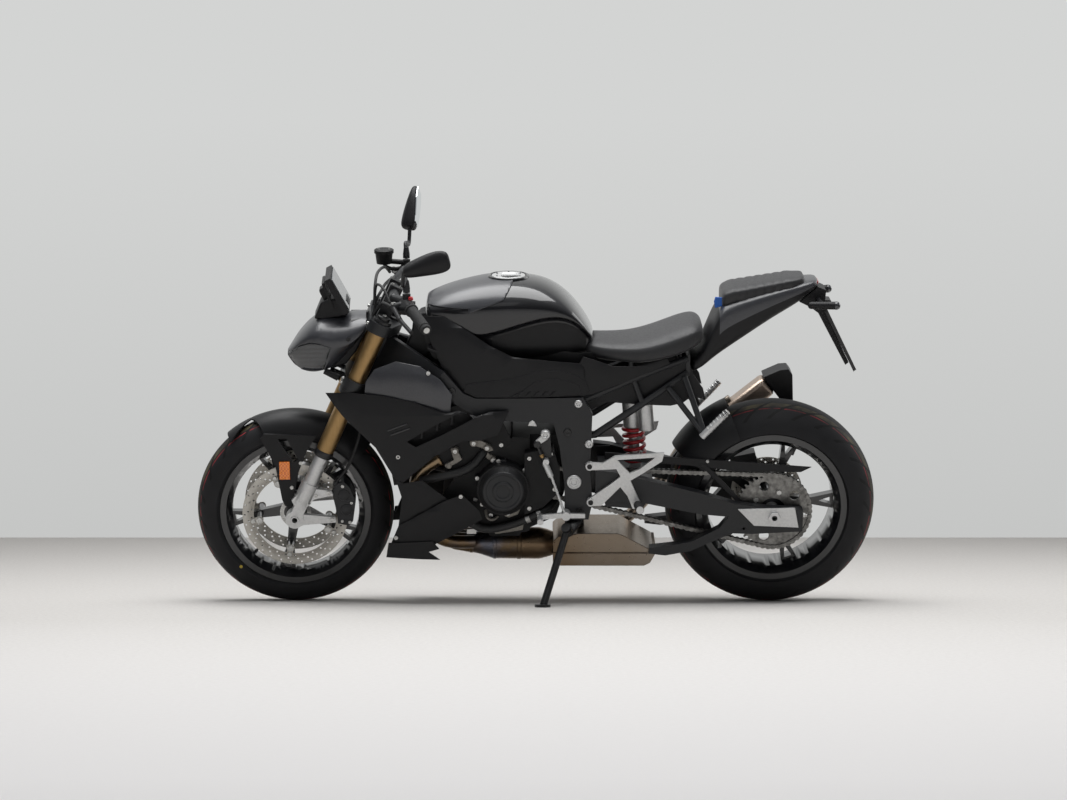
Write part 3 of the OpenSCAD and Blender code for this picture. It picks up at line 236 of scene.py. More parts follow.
# %% [markdown]
# ## Paint, powder coat and anodised metal
# The tank is lacquered: a black base under a clear coat, so it mirrors the room sharply. Frame and swingarm are powder
# coated, which melts into a slightly lumpy satin skin. The fork's outer tubes are anodised: the metal shows through.

# %% Gloss black paint
black_paint, tree, shader, place = new_finish("clear_coated_black_paint", Roughness=0.32, Coat_Weight=1.0,
                                              Coat_Roughness=0.05, Coat_IOR=1.5, Specular_IOR_Level=0.2)
haze = add(tree, "TexNoise", {"Vector": place, "Scale": per_mm(90), "Detail": 4.0})
colour = add(tree, "ValToRGB", {"Fac": haze.outputs["Fac"]})
colour.color_ramp.elements[0].color = linear("#0b0b0d")
colour.color_ramp.elements[1].color = linear("#131317")
# Lacquer is never quite flat: this is its orange peel, drawn coarser than the real 2 mm.
peel = add(tree, "TexNoise", {"Vector": place, "Scale": per_mm(9)})
bump = add(tree, "Bump", {"Height": peel.outputs["Fac"], "Strength": 0.03, "Distance": 0.0003})
tree.links.new(colour.outputs["Color"], shader.inputs["Base Color"])
tree.links.new(bump.outputs["Normal"], shader.inputs["Coat Normal"])
print("made", black_paint.name)

# %% Wheel lacquer, powder coat, casting paint with painted shade, and enamel
gloss_black_alloy = speckled("black_lacquered_alloy", "#0c0d10", "#1b1c20", 30, 5.0, 0.4, Roughness=0.28,
                             Coat_Weight=0.8, Coat_Roughness=0.08)

black_alloy, tree, shader, place = new_finish("black_powder_coat", Roughness=0.4, IOR=1.45)
melt = add(tree, "TexNoise", {"Vector": place, "Scale": per_mm(5), "Detail": 2.0})
tint = add(tree, "TexNoise", {"Vector": place, "Scale": per_mm(70), "Detail": 4.0})
colour = add(tree, "ValToRGB", {"Fac": tint.outputs["Fac"]})
colour.color_ramp.elements[0].color = linear("#101113")
colour.color_ramp.elements[1].color = linear("#1d1e21")
rough = add(tree, "MapRange", {"Value": tint.outputs["Fac"], "To Min": 0.34, "To Max": 0.5})
bump = add(tree, "Bump", {"Height": melt.outputs["Fac"], "Strength": 0.15, "Distance": 0.0004})
tree.links.new(colour.outputs["Color"], shader.inputs["Base Color"])
tree.links.new(rough.outputs["Result"], shader.inputs["Roughness"])
tree.links.new(bump.outputs["Normal"], shader.inputs["Normal"])

# Painted shade: the castings' black is partly their own paint and partly painted shade, darker than the frame's coat,
# for the shade in which the engine sits.
engine_black_and_painted_shade, tree, shader, place = new_finish("black_casting_and_painted_shade", Roughness=0.5, Specular_IOR_Level=0.25)
sand = add(tree, "TexNoise", {"Vector": place, "Scale": per_mm(4), "Detail": 4.0})
soot = add(tree, "TexNoise", {"Vector": place, "Scale": per_mm(55), "Detail": 3.0})
colour = add(tree, "ValToRGB", {"Fac": soot.outputs["Fac"]})
colour.color_ramp.elements[0].color = linear("#0b0b0c")
colour.color_ramp.elements[1].color = linear("#151516")
# Sand-cast skin keeps the grains of its mould under the paint.
bump = add(tree, "Bump", {"Height": sand.outputs["Fac"], "Strength": 0.25, "Distance": 0.0006})
tree.links.new(colour.outputs["Color"], shader.inputs["Base Color"])
tree.links.new(bump.outputs["Normal"], shader.inputs["Normal"])

satin_paint = speckled("satin_graphite_paint", "#212226", "#35363b", 3, 2.0, Roughness=0.36, Coat_Weight=0.5,
                       Coat_Roughness=0.25)
black_steel = speckled("black_enamelled_steel", "#0f0f10", "#232325", 25, 6.0, 0.45, Roughness=0.36, IOR=1.5)

# %% Anodised gold and cast grey alloy
gold_anodised, tree, shader, place = new_finish("gold_anodised_aluminium", Metallic=1.0, Roughness=0.4)
# Turned tubes carry faint marks round them; stretched noise along the fork leg stands for the polishing.
drawn = add(tree, "Mapping", {"Vector": place, "Scale": (1.0, 1.0, 0.15)})
marks = add(tree, "TexNoise", {"Vector": drawn.outputs["Vector"], "Scale": per_mm(8), "Detail": 4.0})
colour = add(tree, "ValToRGB", {"Fac": marks.outputs["Fac"]})
colour.color_ramp.elements[0].color = linear("#8a6f49")
colour.color_ramp.elements[1].color = linear("#ab8d62")
rough = add(tree, "MapRange", {"Value": marks.outputs["Fac"], "To Min": 0.32, "To Max": 0.5})
tree.links.new(colour.outputs["Color"], shader.inputs["Base Color"])
tree.links.new(rough.outputs["Result"], shader.inputs["Roughness"])

grey_alloy = speckled("silver_lacquered_casting", "#b4b5b6", "#d4d4d3", 6, 5.0, relief=(0.1, 0.0005), Metallic=0.75,
                      Roughness=0.38)
print("made paints and coats")

# %% [markdown]
# ## Bare steels
# The exhaust is bare stainless steel. Heat grows an oxide film on it that shows straw, brown and blue bands near the
# engine, so its colour follows the distance along the bike. Chain and fasteners are plain oiled steel.

# %% Heat-tinted stainless, plain steel and chain steel
stainless, tree, shader, place = new_finish("heat_tinted_stainless", Metallic=1.0, Roughness=0.3)
axes = add(tree, "SeparateXYZ", {"Vector": place})
patch = add(tree, "TexNoise", {"Vector": place, "Scale": per_mm(60), "Detail": 5.0})
drift = add(tree, "MapRange", {"Value": patch.outputs["Fac"], "To Min": -0.12, "To Max": 0.12})
where = add(tree, "Math", {0: axes.outputs["X"], 1: drift.outputs["Result"]}, operation="ADD")
heat = add(tree, "MapRange", {"Value": where.outputs["Value"], "From Min": -0.42, "From Max": 0.36})
colour = add(tree, "ValToRGB", {"Fac": heat.outputs["Result"]})
bands = [(0.0, "#948a7f"), (0.3, "#86796a"), (0.52, "#7b6751"), (0.64, "#6c5c49"), (0.74, "#646670"),
         (0.86, "#7c6548"), (1.0, "#8a7962")]
for position, _ in bands[1:-1]:
    colour.color_ramp.elements.new(position)
for stop, (position, value) in zip(colour.color_ramp.elements, bands):
    stop.position, stop.color = position, linear(value)
streak = add(tree, "TexNoise", {"Vector": place, "Scale": per_mm(10), "Detail": 6.0})
rough = add(tree, "MapRange", {"Value": streak.outputs["Fac"], "To Min": 0.2, "To Max": 0.42})
tree.links.new(colour.outputs["Color"], shader.inputs["Base Color"])
tree.links.new(rough.outputs["Result"], shader.inputs["Roughness"])

brushed_titanium, tree, shader, place = new_finish("brushed_titanium", Metallic=1.0, Roughness=0.38)
# Brushing runs along the can; the strokes are drawn about ten times too wide so that they show.
stroke = add(tree, "Mapping", {"Vector": place, "Rotation": (0, radians(-39), 0), "Scale": (0.06, 1.0, 1.0)})
brush = add(tree, "TexNoise", {"Vector": stroke.outputs["Vector"], "Scale": per_mm(6), "Detail": 5.0})
colour = add(tree, "ValToRGB", {"Fac": brush.outputs["Fac"]})
colour.color_ramp.elements[0].color = linear("#9f8e80")
colour.color_ramp.elements[1].color = linear("#c3b3a5")
rough = add(tree, "MapRange", {"Value": brush.outputs["Fac"], "To Min": 0.3, "To Max": 0.46})
tree.links.new(colour.outputs["Color"], shader.inputs["Base Color"])
tree.links.new(rough.outputs["Result"], shader.inputs["Roughness"])

bright_steel = speckled("zinc_plated_steel", "#a9a9a7", "#cfcfcd", 12, Metallic=1.0, Roughness=0.3)
chain_steel = speckled("oiled_chain_steel", "#5e5d5b", "#a6a5a2", 14, 5.0, 0.35, Metallic=1.0, Roughness=0.34)
print("made steels")

# %% [markdown]
# ## Rubber, vinyl, glass and small colours
# The seat is vinyl leathercloth with a pebbled grain. Grips are moulded rubber. Lamps are smoked polycarbonate, the
# reflectors are orange acrylic with small prisms, and the plate is blank white enamel.

# %% Vinyl and grip rubber
seat_vinyl, tree, shader, place = new_finish("black_vinyl_leathercloth", Roughness=0.52, Sheen_Weight=0.1)
# Real pebbles are about 1.5 mm; drawn at 6 mm so that they show.
pebbles = add(tree, "TexVoronoi", {"Vector": place, "Scale": per_mm(6)}, feature="SMOOTH_F1")
shade = add(tree, "TexNoise", {"Vector": place, "Scale": per_mm(80), "Detail": 3.0})
colour = add(tree, "ValToRGB", {"Fac": shade.outputs["Fac"]})
colour.color_ramp.elements[0].color = linear("#131315")
colour.color_ramp.elements[1].color = linear("#1d1d20")
rough = add(tree, "MapRange", {"Value": pebbles.outputs["Distance"], "To Min": 0.44, "To Max": 0.62})
bump = add(tree, "Bump", {"Height": pebbles.outputs["Distance"], "Strength": 0.25, "Distance": 0.0008})
tree.links.new(colour.outputs["Color"], shader.inputs["Base Color"])
tree.links.new(rough.outputs["Result"], shader.inputs["Roughness"])
tree.links.new(bump.outputs["Normal"], shader.inputs["Normal"])

grip_rubber, tree, shader, place = new_finish("moulded_grip_rubber", Roughness=0.7)
pimples = add(tree, "TexVoronoi", {"Vector": place, "Scale": per_mm(5)})
# Painted light and shade: the pimples are painted lighter on their tops and darker in the hollows between them.
colour = add(tree, "ValToRGB", {"Fac": pimples.outputs["Distance"]})
colour.color_ramp.elements[0].color = linear("#1c1c1d")
colour.color_ramp.elements[1].color = linear("#0d0d0e")
bump = add(tree, "Bump", {"Height": pimples.outputs["Distance"], "Strength": 0.5, "Distance": -0.001})
tree.links.new(colour.outputs["Color"], shader.inputs["Base Color"])
tree.links.new(bump.outputs["Normal"], shader.inputs["Normal"])
print("made", seat_vinyl.name, grip_rubber.name)

# %% Glass, reflectors, plate and spring
lamp_glass, tree, shader, place = new_finish("smoked_polycarbonate", Roughness=0.06, IOR=1.58,
                                             Transmission_Weight=0.55, Coat_Weight=0.6, Coat_Roughness=0.03)
flutes = add(tree, "TexWave", {"Vector": place, "Scale": per_mm(40)}, bands_direction="Z")
colour = add(tree, "ValToRGB", {"Fac": flutes.outputs["Fac"]})
colour.color_ramp.elements[0].color = linear("#2a2c30")
colour.color_ramp.elements[1].color = linear("#4a4d52")
tree.links.new(colour.outputs["Color"], shader.inputs["Base Color"])

orange_reflector, tree, shader, place = new_finish("orange_prism_acrylic", Roughness=0.12, Coat_Weight=1.0)
prisms = add(tree, "TexChecker", {"Vector": place, "Scale": per_mm(5)})
colour = add(tree, "MixRGB", {"Fac": prisms.outputs["Fac"], "Color1": linear("#f58a1c"),
                              "Color2": linear("#dd6a08")})
bump = add(tree, "Bump", {"Height": prisms.outputs["Fac"], "Strength": 0.4, "Distance": 0.001})
tree.links.new(colour.outputs["Color"], shader.inputs["Base Color"])
tree.links.new(bump.outputs["Normal"], shader.inputs["Normal"])

mirror = speckled("silvered_mirror_glass", "#dfe4e6", "#eef1f2", 50, 2.0, Metallic=1.0, Roughness=0.03)
white_plate = speckled("white_plate_enamel", "#d9d9d5", "#ecece8", 40, Roughness=0.3, Coat_Weight=0.4)
red_spring = speckled("red_powder_coated_spring", "#8e1018", "#c3202a", 20, 5.0, Roughness=0.35, Coat_Weight=0.5)
print("made rubber, vinyl and glass")

# %% [markdown]
# ## Wheel finishes
# Tyre tread, brake discs and sprocket have patterns that run round an axle. A Mapping node moves the object's own
# coordinates to each wheel, so that its second axis lies along the axle. The tread's grooves are then a rule in the
# angle round the wheel and the distance from its middle, as the tyre's mould has them.

# %% Places of the bike and its wheels
LEAN, STEER, RAKE = radians(15.5), radians(3), radians(24.2)
FORK_OFFSET = 36
FRONT_AXLE, REAR_AXLE = Vector((725, 0, 301.347)), Vector((-725, 0, 323.586))
# Pieces are drawn in millimetres on the upright bike, then leaned on its stand and turned to metres.
PARKED = Matrix.Scale(0.001, 4) @ Matrix.Translation((10, -234, 0)) @ Matrix.Rotation(-LEAN, 4, "X")
UP_THE_FORK = Matrix.Translation(FRONT_AXLE) @ Matrix.Rotation(-RAKE, 4, "Y")
TURN = (Matrix.Translation((-FORK_OFFSET, 0, 0)) @ Matrix.Rotation(STEER, 4, "Z")
        @ Matrix.Translation((FORK_OFFSET, 0, 0)))
STEERED = PARKED @ UP_THE_FORK @ TURN @ UP_THE_FORK.inverted()
FORK = PARKED @ UP_THE_FORK @ TURN
FRONT_WHEEL = STEERED @ Matrix.Translation(FRONT_AXLE)
REAR_WHEEL = PARKED @ Matrix.Translation(REAR_AXLE)
# Each piece has a place and a body that carries it.
ON_BIKE, ON_BARS, ON_FORK = (PARKED, "chassis"), (STEERED, "front_end"), (FORK, "front_end")
ON_FRONT_WHEEL, ON_REAR_WHEEL = (FRONT_WHEEL, "front_wheel"), (REAR_WHEEL, "rear_wheel")
print("front axle at", [round(v, 3) for v in FRONT_WHEEL.translation])


def wheel_coordinates(tree, place, wheel):
    spot, turn, _ = wheel.decompose()
    return add(tree, "Mapping", {"Vector": place, "Location": spot, "Rotation": turn.to_euler()},
               vector_type="TEXTURE").outputs["Vector"]


# %% Tyre rubber with road tread
def tyre_rubber(name, wheel, half_width, grooves, olive, red):
    material, tree, shader, place = new_finish(name, Roughness=0.62, Specular_IOR_Level=0.25)
    axes = add(tree, "SeparateXYZ", {"Vector": wheel_coordinates(tree, place, wheel)})
    across = add(tree, "Math", {0: axes.outputs["Y"]}, operation="ABSOLUTE")
    angle = add(tree, "Math", {0: axes.outputs["Z"], 1: axes.outputs["X"]}, operation="ARCTAN2")
    turns = add(tree, "Math", {0: angle.outputs["Value"], 1: grooves / (2 * pi)}, operation="MULTIPLY")
    # Each groove slants: it lies further round the wheel the further it is from the middle.
    slant = add(tree, "Math", {0: across.outputs["Value"], 1: 22.0, 2: turns.outputs["Value"]},
                operation="MULTIPLY_ADD")
    saw = add(tree, "Math", {0: slant.outputs["Value"]}, operation="FRACT")
    slot = add(tree, "Math", {0: saw.outputs["Value"], 1: 0.5, 2: 0.09}, operation="COMPARE")
    inside = add(tree, "Math", {0: across.outputs["Value"], 1: half_width * 0.52, 2: half_width * 0.30},
                 operation="COMPARE")
    groove = add(tree, "Math", {0: slot.outputs["Value"], 1: inside.outputs["Value"]}, operation="MULTIPLY")
    dust = add(tree, "TexNoise", {"Vector": place, "Scale": per_mm(45), "Detail": 5.0})
    rubber = add(tree, "ValToRGB", {"Fac": dust.outputs["Fac"]})
    rubber.color_ramp.elements[0].color = linear("#141416")
    rubber.color_ramp.elements[1].color = linear("#202022")
    # Moulders mark fresh treads with thin paint lines: here an olive band and a red line on each side.
    worn = add(tree, "MapRange", {"Value": dust.outputs["Fac"], "From Min": 0.35, "From Max": 0.6})
    outer = add(tree, "Math", {0: axes.outputs["X"], 1: axes.outputs["X"]}, operation="MULTIPLY")
    outer = add(tree, "Math", {0: axes.outputs["Z"], 1: axes.outputs["Z"], 2: outer.outputs["Value"]},
                operation="MULTIPLY_ADD")
    tread = add(tree, "Math", {0: outer.outputs["Value"], 1: 0.255 ** 2}, operation="GREATER_THAN")
    colour = rubber.outputs["Color"]
    for hex_colour, middle, half in (("#4c4634", olive, 0.0075), ("#8e2b30", red, 0.0016)):
        line = add(tree, "Math", {0: across.outputs["Value"], 1: middle, 2: half}, operation="COMPARE")
        part = add(tree, "Math", {0: line.outputs["Value"], 1: worn.outputs["Result"]}, operation="MULTIPLY")
        part = add(tree, "Math", {0: part.outputs["Value"], 1: tread.outputs["Value"]}, operation="MULTIPLY")
        colour = add(tree, "MixRGB", {"Fac": part.outputs["Value"], "Color1": colour,
                                      "Color2": linear(hex_colour)}).outputs["Color"]
    # Painted shade: the grooves are painted darker than the rubber around them, for the shade that falls into them.
    colour = add(tree, "MixRGB", {"Fac": groove.outputs["Value"], "Color1": colour,
                                  "Color2": linear("#0a0a0b")}).outputs["Color"]
    bump = add(tree, "Bump", {"Height": groove.outputs["Value"], "Strength": 0.9, "Distance": -0.004})
    tree.links.new(colour, shader.inputs["Base Color"])
    tree.links.new(bump.outputs["Normal"], shader.inputs["Normal"])
    return material


front_rubber = tyre_rubber("front_tyre_rubber", FRONT_WHEEL, 0.060, 22, 0.020, 0.034)
rear_rubber = tyre_rubber("rear_tyre_rubber", REAR_WHEEL, 0.095, 24, 0.038, 0.052)
print("made", front_rubber.name, rear_rubber.name)


# %% Ground brake disc steel
def disc_steel(name, wheel):
    material, tree, shader, place = new_finish(name, Metallic=1.0, Roughness=0.34)
    local = wheel_coordinates(tree, place, wheel)
    # Pads grind fine rings into the disc; drawn every 7 mm so that they show.
    rings = add(tree, "TexWave", {"Vector": local, "Scale": per_mm(7) / 20, "Distortion": 0.6},
                wave_type="RINGS", rings_direction="Y")
    colour = add(tree, "ValToRGB", {"Fac": rings.outputs["Fac"]})
    colour.color_ramp.elements[0].color = linear("#8f8c86")
    colour.color_ramp.elements[1].color = linear("#b7b4ae")
    rough = add(tree, "MapRange", {"Value": rings.outputs["Fac"], "To Min": 0.26, "To Max": 0.44})
    tree.links.new(colour.outputs["Color"], shader.inputs["Base Color"])
    tree.links.new(rough.outputs["Result"], shader.inputs["Roughness"])
    return material


front_disc_steel = disc_steel("front_disc_steel", FRONT_WHEEL)
rear_disc_steel = disc_steel("rear_disc_steel", REAR_WHEEL)
print("made wheel finishes")

# %% [markdown]
# ## Dressing the CAD nodes
# Nodes whose shape is already right only need a finish. A dictionary from the record's material slots to the finishes
# made above dresses them all; wheels get their own copies of the finishes that turn about an axle.

# %% Dress the nodes
FINISHES = {"tyre_rubber": front_rubber, "gloss_black_alloy": gloss_black_alloy, "disc_steel": front_disc_steel,
            "chain_steel": chain_steel, "gold_anodised": gold_anodised, "grey_alloy": grey_alloy,
            "black_alloy": black_alloy, "matt_black_plastic": matt_black_plastic,
            "orange_reflector": orange_reflector, "grip_rubber": grip_rubber, "mirror": mirror,
            "lamp_glass": lamp_glass, "black_paint": black_paint, "seat_vinyl": seat_vinyl,
            "white_plate": white_plate, "red_spring": red_spring, "stainless": stainless,
            "black_steel": black_steel}
SLOT_OF = {part["node"]: part["material_slot"] for part in frame["record"]["subparts"]}
for name, obj in nodes.items():
    finish = FINISHES[SLOT_OF[name]]
    if name == "rear_tyre":
        finish = rear_rubber
    elif name == "rear_disc":
        finish = rear_disc_steel
    obj.data.materials.clear()
    obj.data.materials.append(finish)
print("dressed", len(nodes), "nodes")

# %% [markdown]
# ## Making pieces
# Every new piece ends in the same way: doubles are merged, faces are turned outwards, the upright drawing is leaned
# into place, and the object is tied to the body that carries it. A second helper skins a row of rings: it starts from
# one ring of vertices and extrudes its edges from ring to ring, which is how panels and pads are lofted here.

# %% Piece helpers
def bevelled(obj, width_mm, segments=2, angle=30):
    edge = obj.modifiers.new("rounded_edges", "BEVEL")
    edge.width, edge.segments, edge.limit_method = width_mm / 1000, segments, "ANGLE"
    edge.angle_limit = radians(angle)
    return edge


def piece(bm, name, rides, finish, levels=0, sharp=35, bevel=0.0):
    place, body = rides
    bmesh.ops.remove_doubles(bm, verts=bm.verts, dist=0.02)
    bmesh.ops.recalc_face_normals(bm, faces=bm.faces)
    bm.transform(place)
    mesh = bpy.data.meshes.new(name)
    bm.to_mesh(mesh)
    bm.free()
    mesh.materials.append(finish)
    mesh.shade_smooth()
    obj = bpy.data.objects.new(name, mesh)
    scene.collection.objects.link(obj)
    if bevel:
        bevelled(obj, bevel, angle=32)
    if levels:
        smooth = obj.modifiers.new("smooth", "SUBSURF")
        smooth.levels = smooth.render_levels = levels
    else:
        mesh.set_sharp_from_angle(angle=radians(sharp))
    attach(obj, body)
    return obj


def skin(bm, rings, crease_rows=(), crease=0.7):
    sharpness = bm.edges.layers.float.get("crease_edge") or bm.edges.layers.float.new("crease_edge")
    row = [bm.verts.new(p) for p in rings[0]]
    bm.faces.new(row)
    for ring in rings[1:]:
        edges = [bm.edges.get(pair) for pair in zip(row, row[1:] + row[:1])]
        fresh = set(verts_of(bmesh.ops.extrude_edge_only(bm, edges=edges)["geom"]))
        links = [next(e for e in v.link_edges if e.other_vert(v) in fresh) for v in row]
        for i in crease_rows:
            links[i][sharpness] = crease
        row = [e.other_vert(v) for e, v in zip(links, row)]
        for vert, point in zip(row, ring):
            vert.co = point
    bm.faces.new(row)
    return bm


def superellipse(half_width, z0, z1, power, count, x):
    def bent(v):
        return (1 if v > 0 else -1) * abs(v) ** power
    turns = [2 * pi * i / count for i in range(count)]
    return [(x, half_width * bent(sin(a)), (z0 + z1) / 2 + (z1 - z0) / 2 * bent(cos(a))) for a in turns]


print("helpers ready")

# %% [markdown]
# ## Tyres
# A radial road tyre is a round crown over short sidewalls. Its cross-section is drawn once, as a closed loop, and spun
# round the axle. The sidewall gets a raised rib beside the rim, which catches a thin line of light on the real one.

# %% Tyres
RIM_FLANGE_R, BEAD_R = 231, 216


def tyre(name, rides, finish, core, crown, rim_half):
    bm = bmesh.new()
    base = max(core, RIM_FLANGE_R + 4)
    limit = atan2(sqrt(crown ** 2 - (base - core) ** 2), base - core)
    wall = [(BEAD_R, rim_half - 15), (BEAD_R, rim_half - 5.4), (RIM_FLANGE_R - 1, rim_half - 5.4),
            (RIM_FLANGE_R, rim_half + 1), (RIM_FLANGE_R + 2.5, rim_half + 3.5)]
    crown_arc = [(core + crown * cos(limit - 2 * limit * i / 40), crown * sin(limit - 2 * limit * i / 40))
                 for i in range(41)]
    inner = crown - 9
    inner_arc = [(core + inner * cos(-limit + 2 * limit * i / 12), inner * sin(-limit + 2 * limit * i / 12))
                 for i in range(13)]
    loop = wall + crown_arc + [(r, -y) for r, y in reversed(wall)] + inner_arc
    verts = [bm.verts.new((r, y, 0)) for r, y in loop]
    edges = [bm.edges.new((verts[i], verts[(i + 1) % len(verts)])) for i in range(len(verts))]
    bmesh.ops.spin(bm, geom=verts + edges, cent=(0, 0, 0), axis=(0, 1, 0), angle=2 * pi, steps=128, use_merge=True)
    return piece(bm, name, rides, finish)


tyre_front = tyre("tyre_front", ON_FRONT_WHEEL, front_rubber, 240, 60, 51)
tyre_rear = tyre("tyre_rear", ON_REAR_WHEEL, rear_rubber, 225, 95, 83)
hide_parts("front_tyre")
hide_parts("rear_tyre")
print("tyre faces:", len(tyre_front.data.polygons), len(tyre_rear.data.polygons))

# %% [markdown]
# ## Fuel tank
# The tank is a pressed steel shell. Its crown rolls over a shoulder, and below the shoulder a recess takes the rider's
# knee, with a crisp upper edge. Each ring below is one cross-section of the left half; the right half mirrors it.
# A crease along one row of the subdivided mesh keeps the recess's edge crisp while the rest stays soft.

# %% Tank
# Sections: x, crown height, shoulder height and half width, recess edge height, recess depth, foot height and width.
TANK_SECTIONS = [
    (322, 956, 930, 88, 900, 0, 868, 78), (300, 972, 930, 112, 892, 0, 842, 92),
    (250, 993, 930, 134, 884, 2, 810, 104), (180, 1013, 932, 147, 876, 6, 790, 110),
    (120, 1024, 934, 151, 884, 16, 778, 112), (60, 1028, 936, 152, 904, 24, 774, 112),
    (0, 1025, 938, 150, 922, 27, 774, 110), (-50, 1010, 940, 145, 932, 27, 776, 106),
    (-95, 980, 934, 134, 928, 24, 782, 100), (-132, 940, 912, 120, 908, 20, 788, 92),
    (-162, 896, 880, 104, 876, 16, 796, 84), (-184, 856, 846, 86, 842, 12, 806, 74)]


def tank_half(x, top, shoulder_z, shoulder, edge_z, recess, foot_z, foot):
    crown = [(shoulder * sin(a) ** 0.85, shoulder_z + (top - shoulder_z) * cos(a) ** 0.8)
             for a in (radians(15 * i) for i in range(7))]
    edge = shoulder - 3
    side = [(edge, edge_z), (edge - recess, edge_z - 12), (edge - recess - 2, (edge_z + foot_z) / 2),
            (foot, foot_z)]
    return [(x, y, z) for y, z in crown + side]


def along(sections, x, column):
    for a, b in zip(sections, sections[1:]):
        if min(a[0], b[0]) <= x <= max(a[0], b[0]):
            return a[column] + (x - a[0]) / (b[0] - a[0]) * (b[column] - a[column])
    return sections[-1][column]


def tank():
    rings = []
    for section in TANK_SECTIONS:
        left = tank_half(*section)
        rings.append(left + [(x, -y, z) for x, y, z in reversed(left[1:])])
    bm = skin(bmesh.new(), rings, crease_rows=(7, 14), crease=0.85)
    # The knee recess is left matt, so that the rider's legs don't slip: its faces take a second finish.
    for face in bm.faces:
        middle = face.calc_center_median()
        face.material_index = int(-150 < middle.x < 120 and middle.z < along(TANK_SECTIONS, middle.x, 4) - 9)
    shell = piece(bm, "tank_shell", ON_BIKE, black_paint, levels=3)
    shell.data.materials.append(matt_black_plastic)
    return shell


tank_shell = tank()
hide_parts("fuel_tank")
print("tank sections:", len(TANK_SECTIONS))

# %% [markdown]
# ## Seats
# Both seats are moulded foam under tight vinyl, so they are firm forms with clear edges rather than soft pillows. The
# rider's seat is lofted and subdivided, its front wraps round the tank's heel, and a sewn seam runs along each flank:
# one row of creased edges on each side keeps the vinyl crisp there, as the stitching does.

# %% Rider's seat
# Sections: x, top height, height of the widest line, half width.
SEAT_SECTIONS = [(-186, 845, 822, 80), (-205, 846, 816, 94), (-235, 843, 808, 108), (-270, 842, 803, 122),
                 (-320, 849, 803, 137), (-370, 864, 812, 145), (-415, 882, 824, 148), (-455, 897, 838, 145),
                 (-485, 903, 852, 132), (-503, 893, 862, 108), (-510, 880, 866, 84)]


def seat_ring(x, top, edge, half):
    ring = []
    for i in range(28):
        a = 2 * pi * i / 28
        c, s = cos(a), sin(a)
        y = half * (1 if s > 0 else -1) * abs(s) ** 0.62
        z = edge + (top - edge) * c ** 0.62 if c > 0 else edge - 26 * abs(c) ** 0.8
        wrap = 34 * (y / 80) ** 2 if x > -240 else 0
        ring.append((x + min(wrap, 36), y, z))
    return ring


def rider_pad():
    bm = skin(bmesh.new(), [seat_ring(*s) for s in SEAT_SECTIONS], crease_rows=(5, 23), crease=0.45)
    return piece(bm, "rider_pad", ON_BIKE, seat_vinyl, levels=2)


rider_cushion = rider_pad()
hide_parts("rider_seat")
print("rider's seat:", len(rider_cushion.data.polygons), "faces before smoothing")

# %% Tail shell
TAIL_SECTIONS = [(-470, 742, 784, 98), (-490, 752, 802, 104), (-512, 764, 830, 106), (-532, 780, 888, 106),
                 (-556, 797, 946, 105), (-580, 814, 968, 103), (-640, 856, 986, 100), (-720, 912, 1004, 92),
                 (-790, 952, 1017, 80), (-832, 986, 1022, 64), (-852, 1004, 1022, 46)]


def tail_shell():
    rings = [superellipse(half, z0, z1, 0.55, 24, x) for x, z0, z1, half in TAIL_SECTIONS]
    bm = skin(bmesh.new(), rings, crease_rows=(4, 6, 18, 20), crease=0.6)
    for face in bm.faces:
        middle = face.calc_center_median()
        waist = (along(TAIL_SECTIONS, middle.x, 1) + along(TAIL_SECTIONS, middle.x, 2)) / 2
        face.material_index = int(middle.x < -556 and middle.z > waist)
    shell = piece(bm, "tail_shell", ON_BIKE, matt_black_plastic, levels=2)
    shell.data.materials.append(satin_paint)
    return shell


tail = tail_shell()
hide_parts("tail_fairing")
print("seat sections:", len(SEAT_SECTIONS), "tail sections:", len(TAIL_SECTIONS))

# %% [markdown]
# ## Softening machined parts
# A CAD solid has knife edges; a real casting, weldment or bracket never has, and the light along its rounded edges is
# what makes it look like metal. For parts whose shape is right we copy the node's triangles, merge them, dissolve the
# flat ones into whole faces, and let a Bevel modifier round every edge that is sharper than a set angle.

# %% Rounded copies of the CAD nodes
SOFT_ANGLE = 35


def softened(node, rounding, finish):
    source = nodes[node]
    bm = bmesh.new()
    bm.from_mesh(source.data)
    bmesh.ops.remove_doubles(bm, verts=bm.verts, dist=0.00002)
    bmesh.ops.dissolve_limit(bm, angle_limit=radians(1), verts=bm.verts, edges=bm.edges)
    mesh = bpy.data.meshes.new(node + "_rounded")
    bm.to_mesh(mesh)
    bm.free()
    mesh.materials.append(finish or FINISHES[SLOT_OF[node]])
    mesh.shade_smooth()
    mesh.set_sharp_from_angle(angle=radians(SOFT_ANGLE))
    obj = bpy.data.objects.new(node + "_rounded", mesh)
    scene.collection.objects.link(obj)
    if rounding:
        bevelled(obj, rounding, angle=SOFT_ANGLE).harden_normals = True
    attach(obj, next(b for b, names in frame["record"]["behaviour"]["bodies"].items() if node in names))
    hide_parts(node)
    return obj


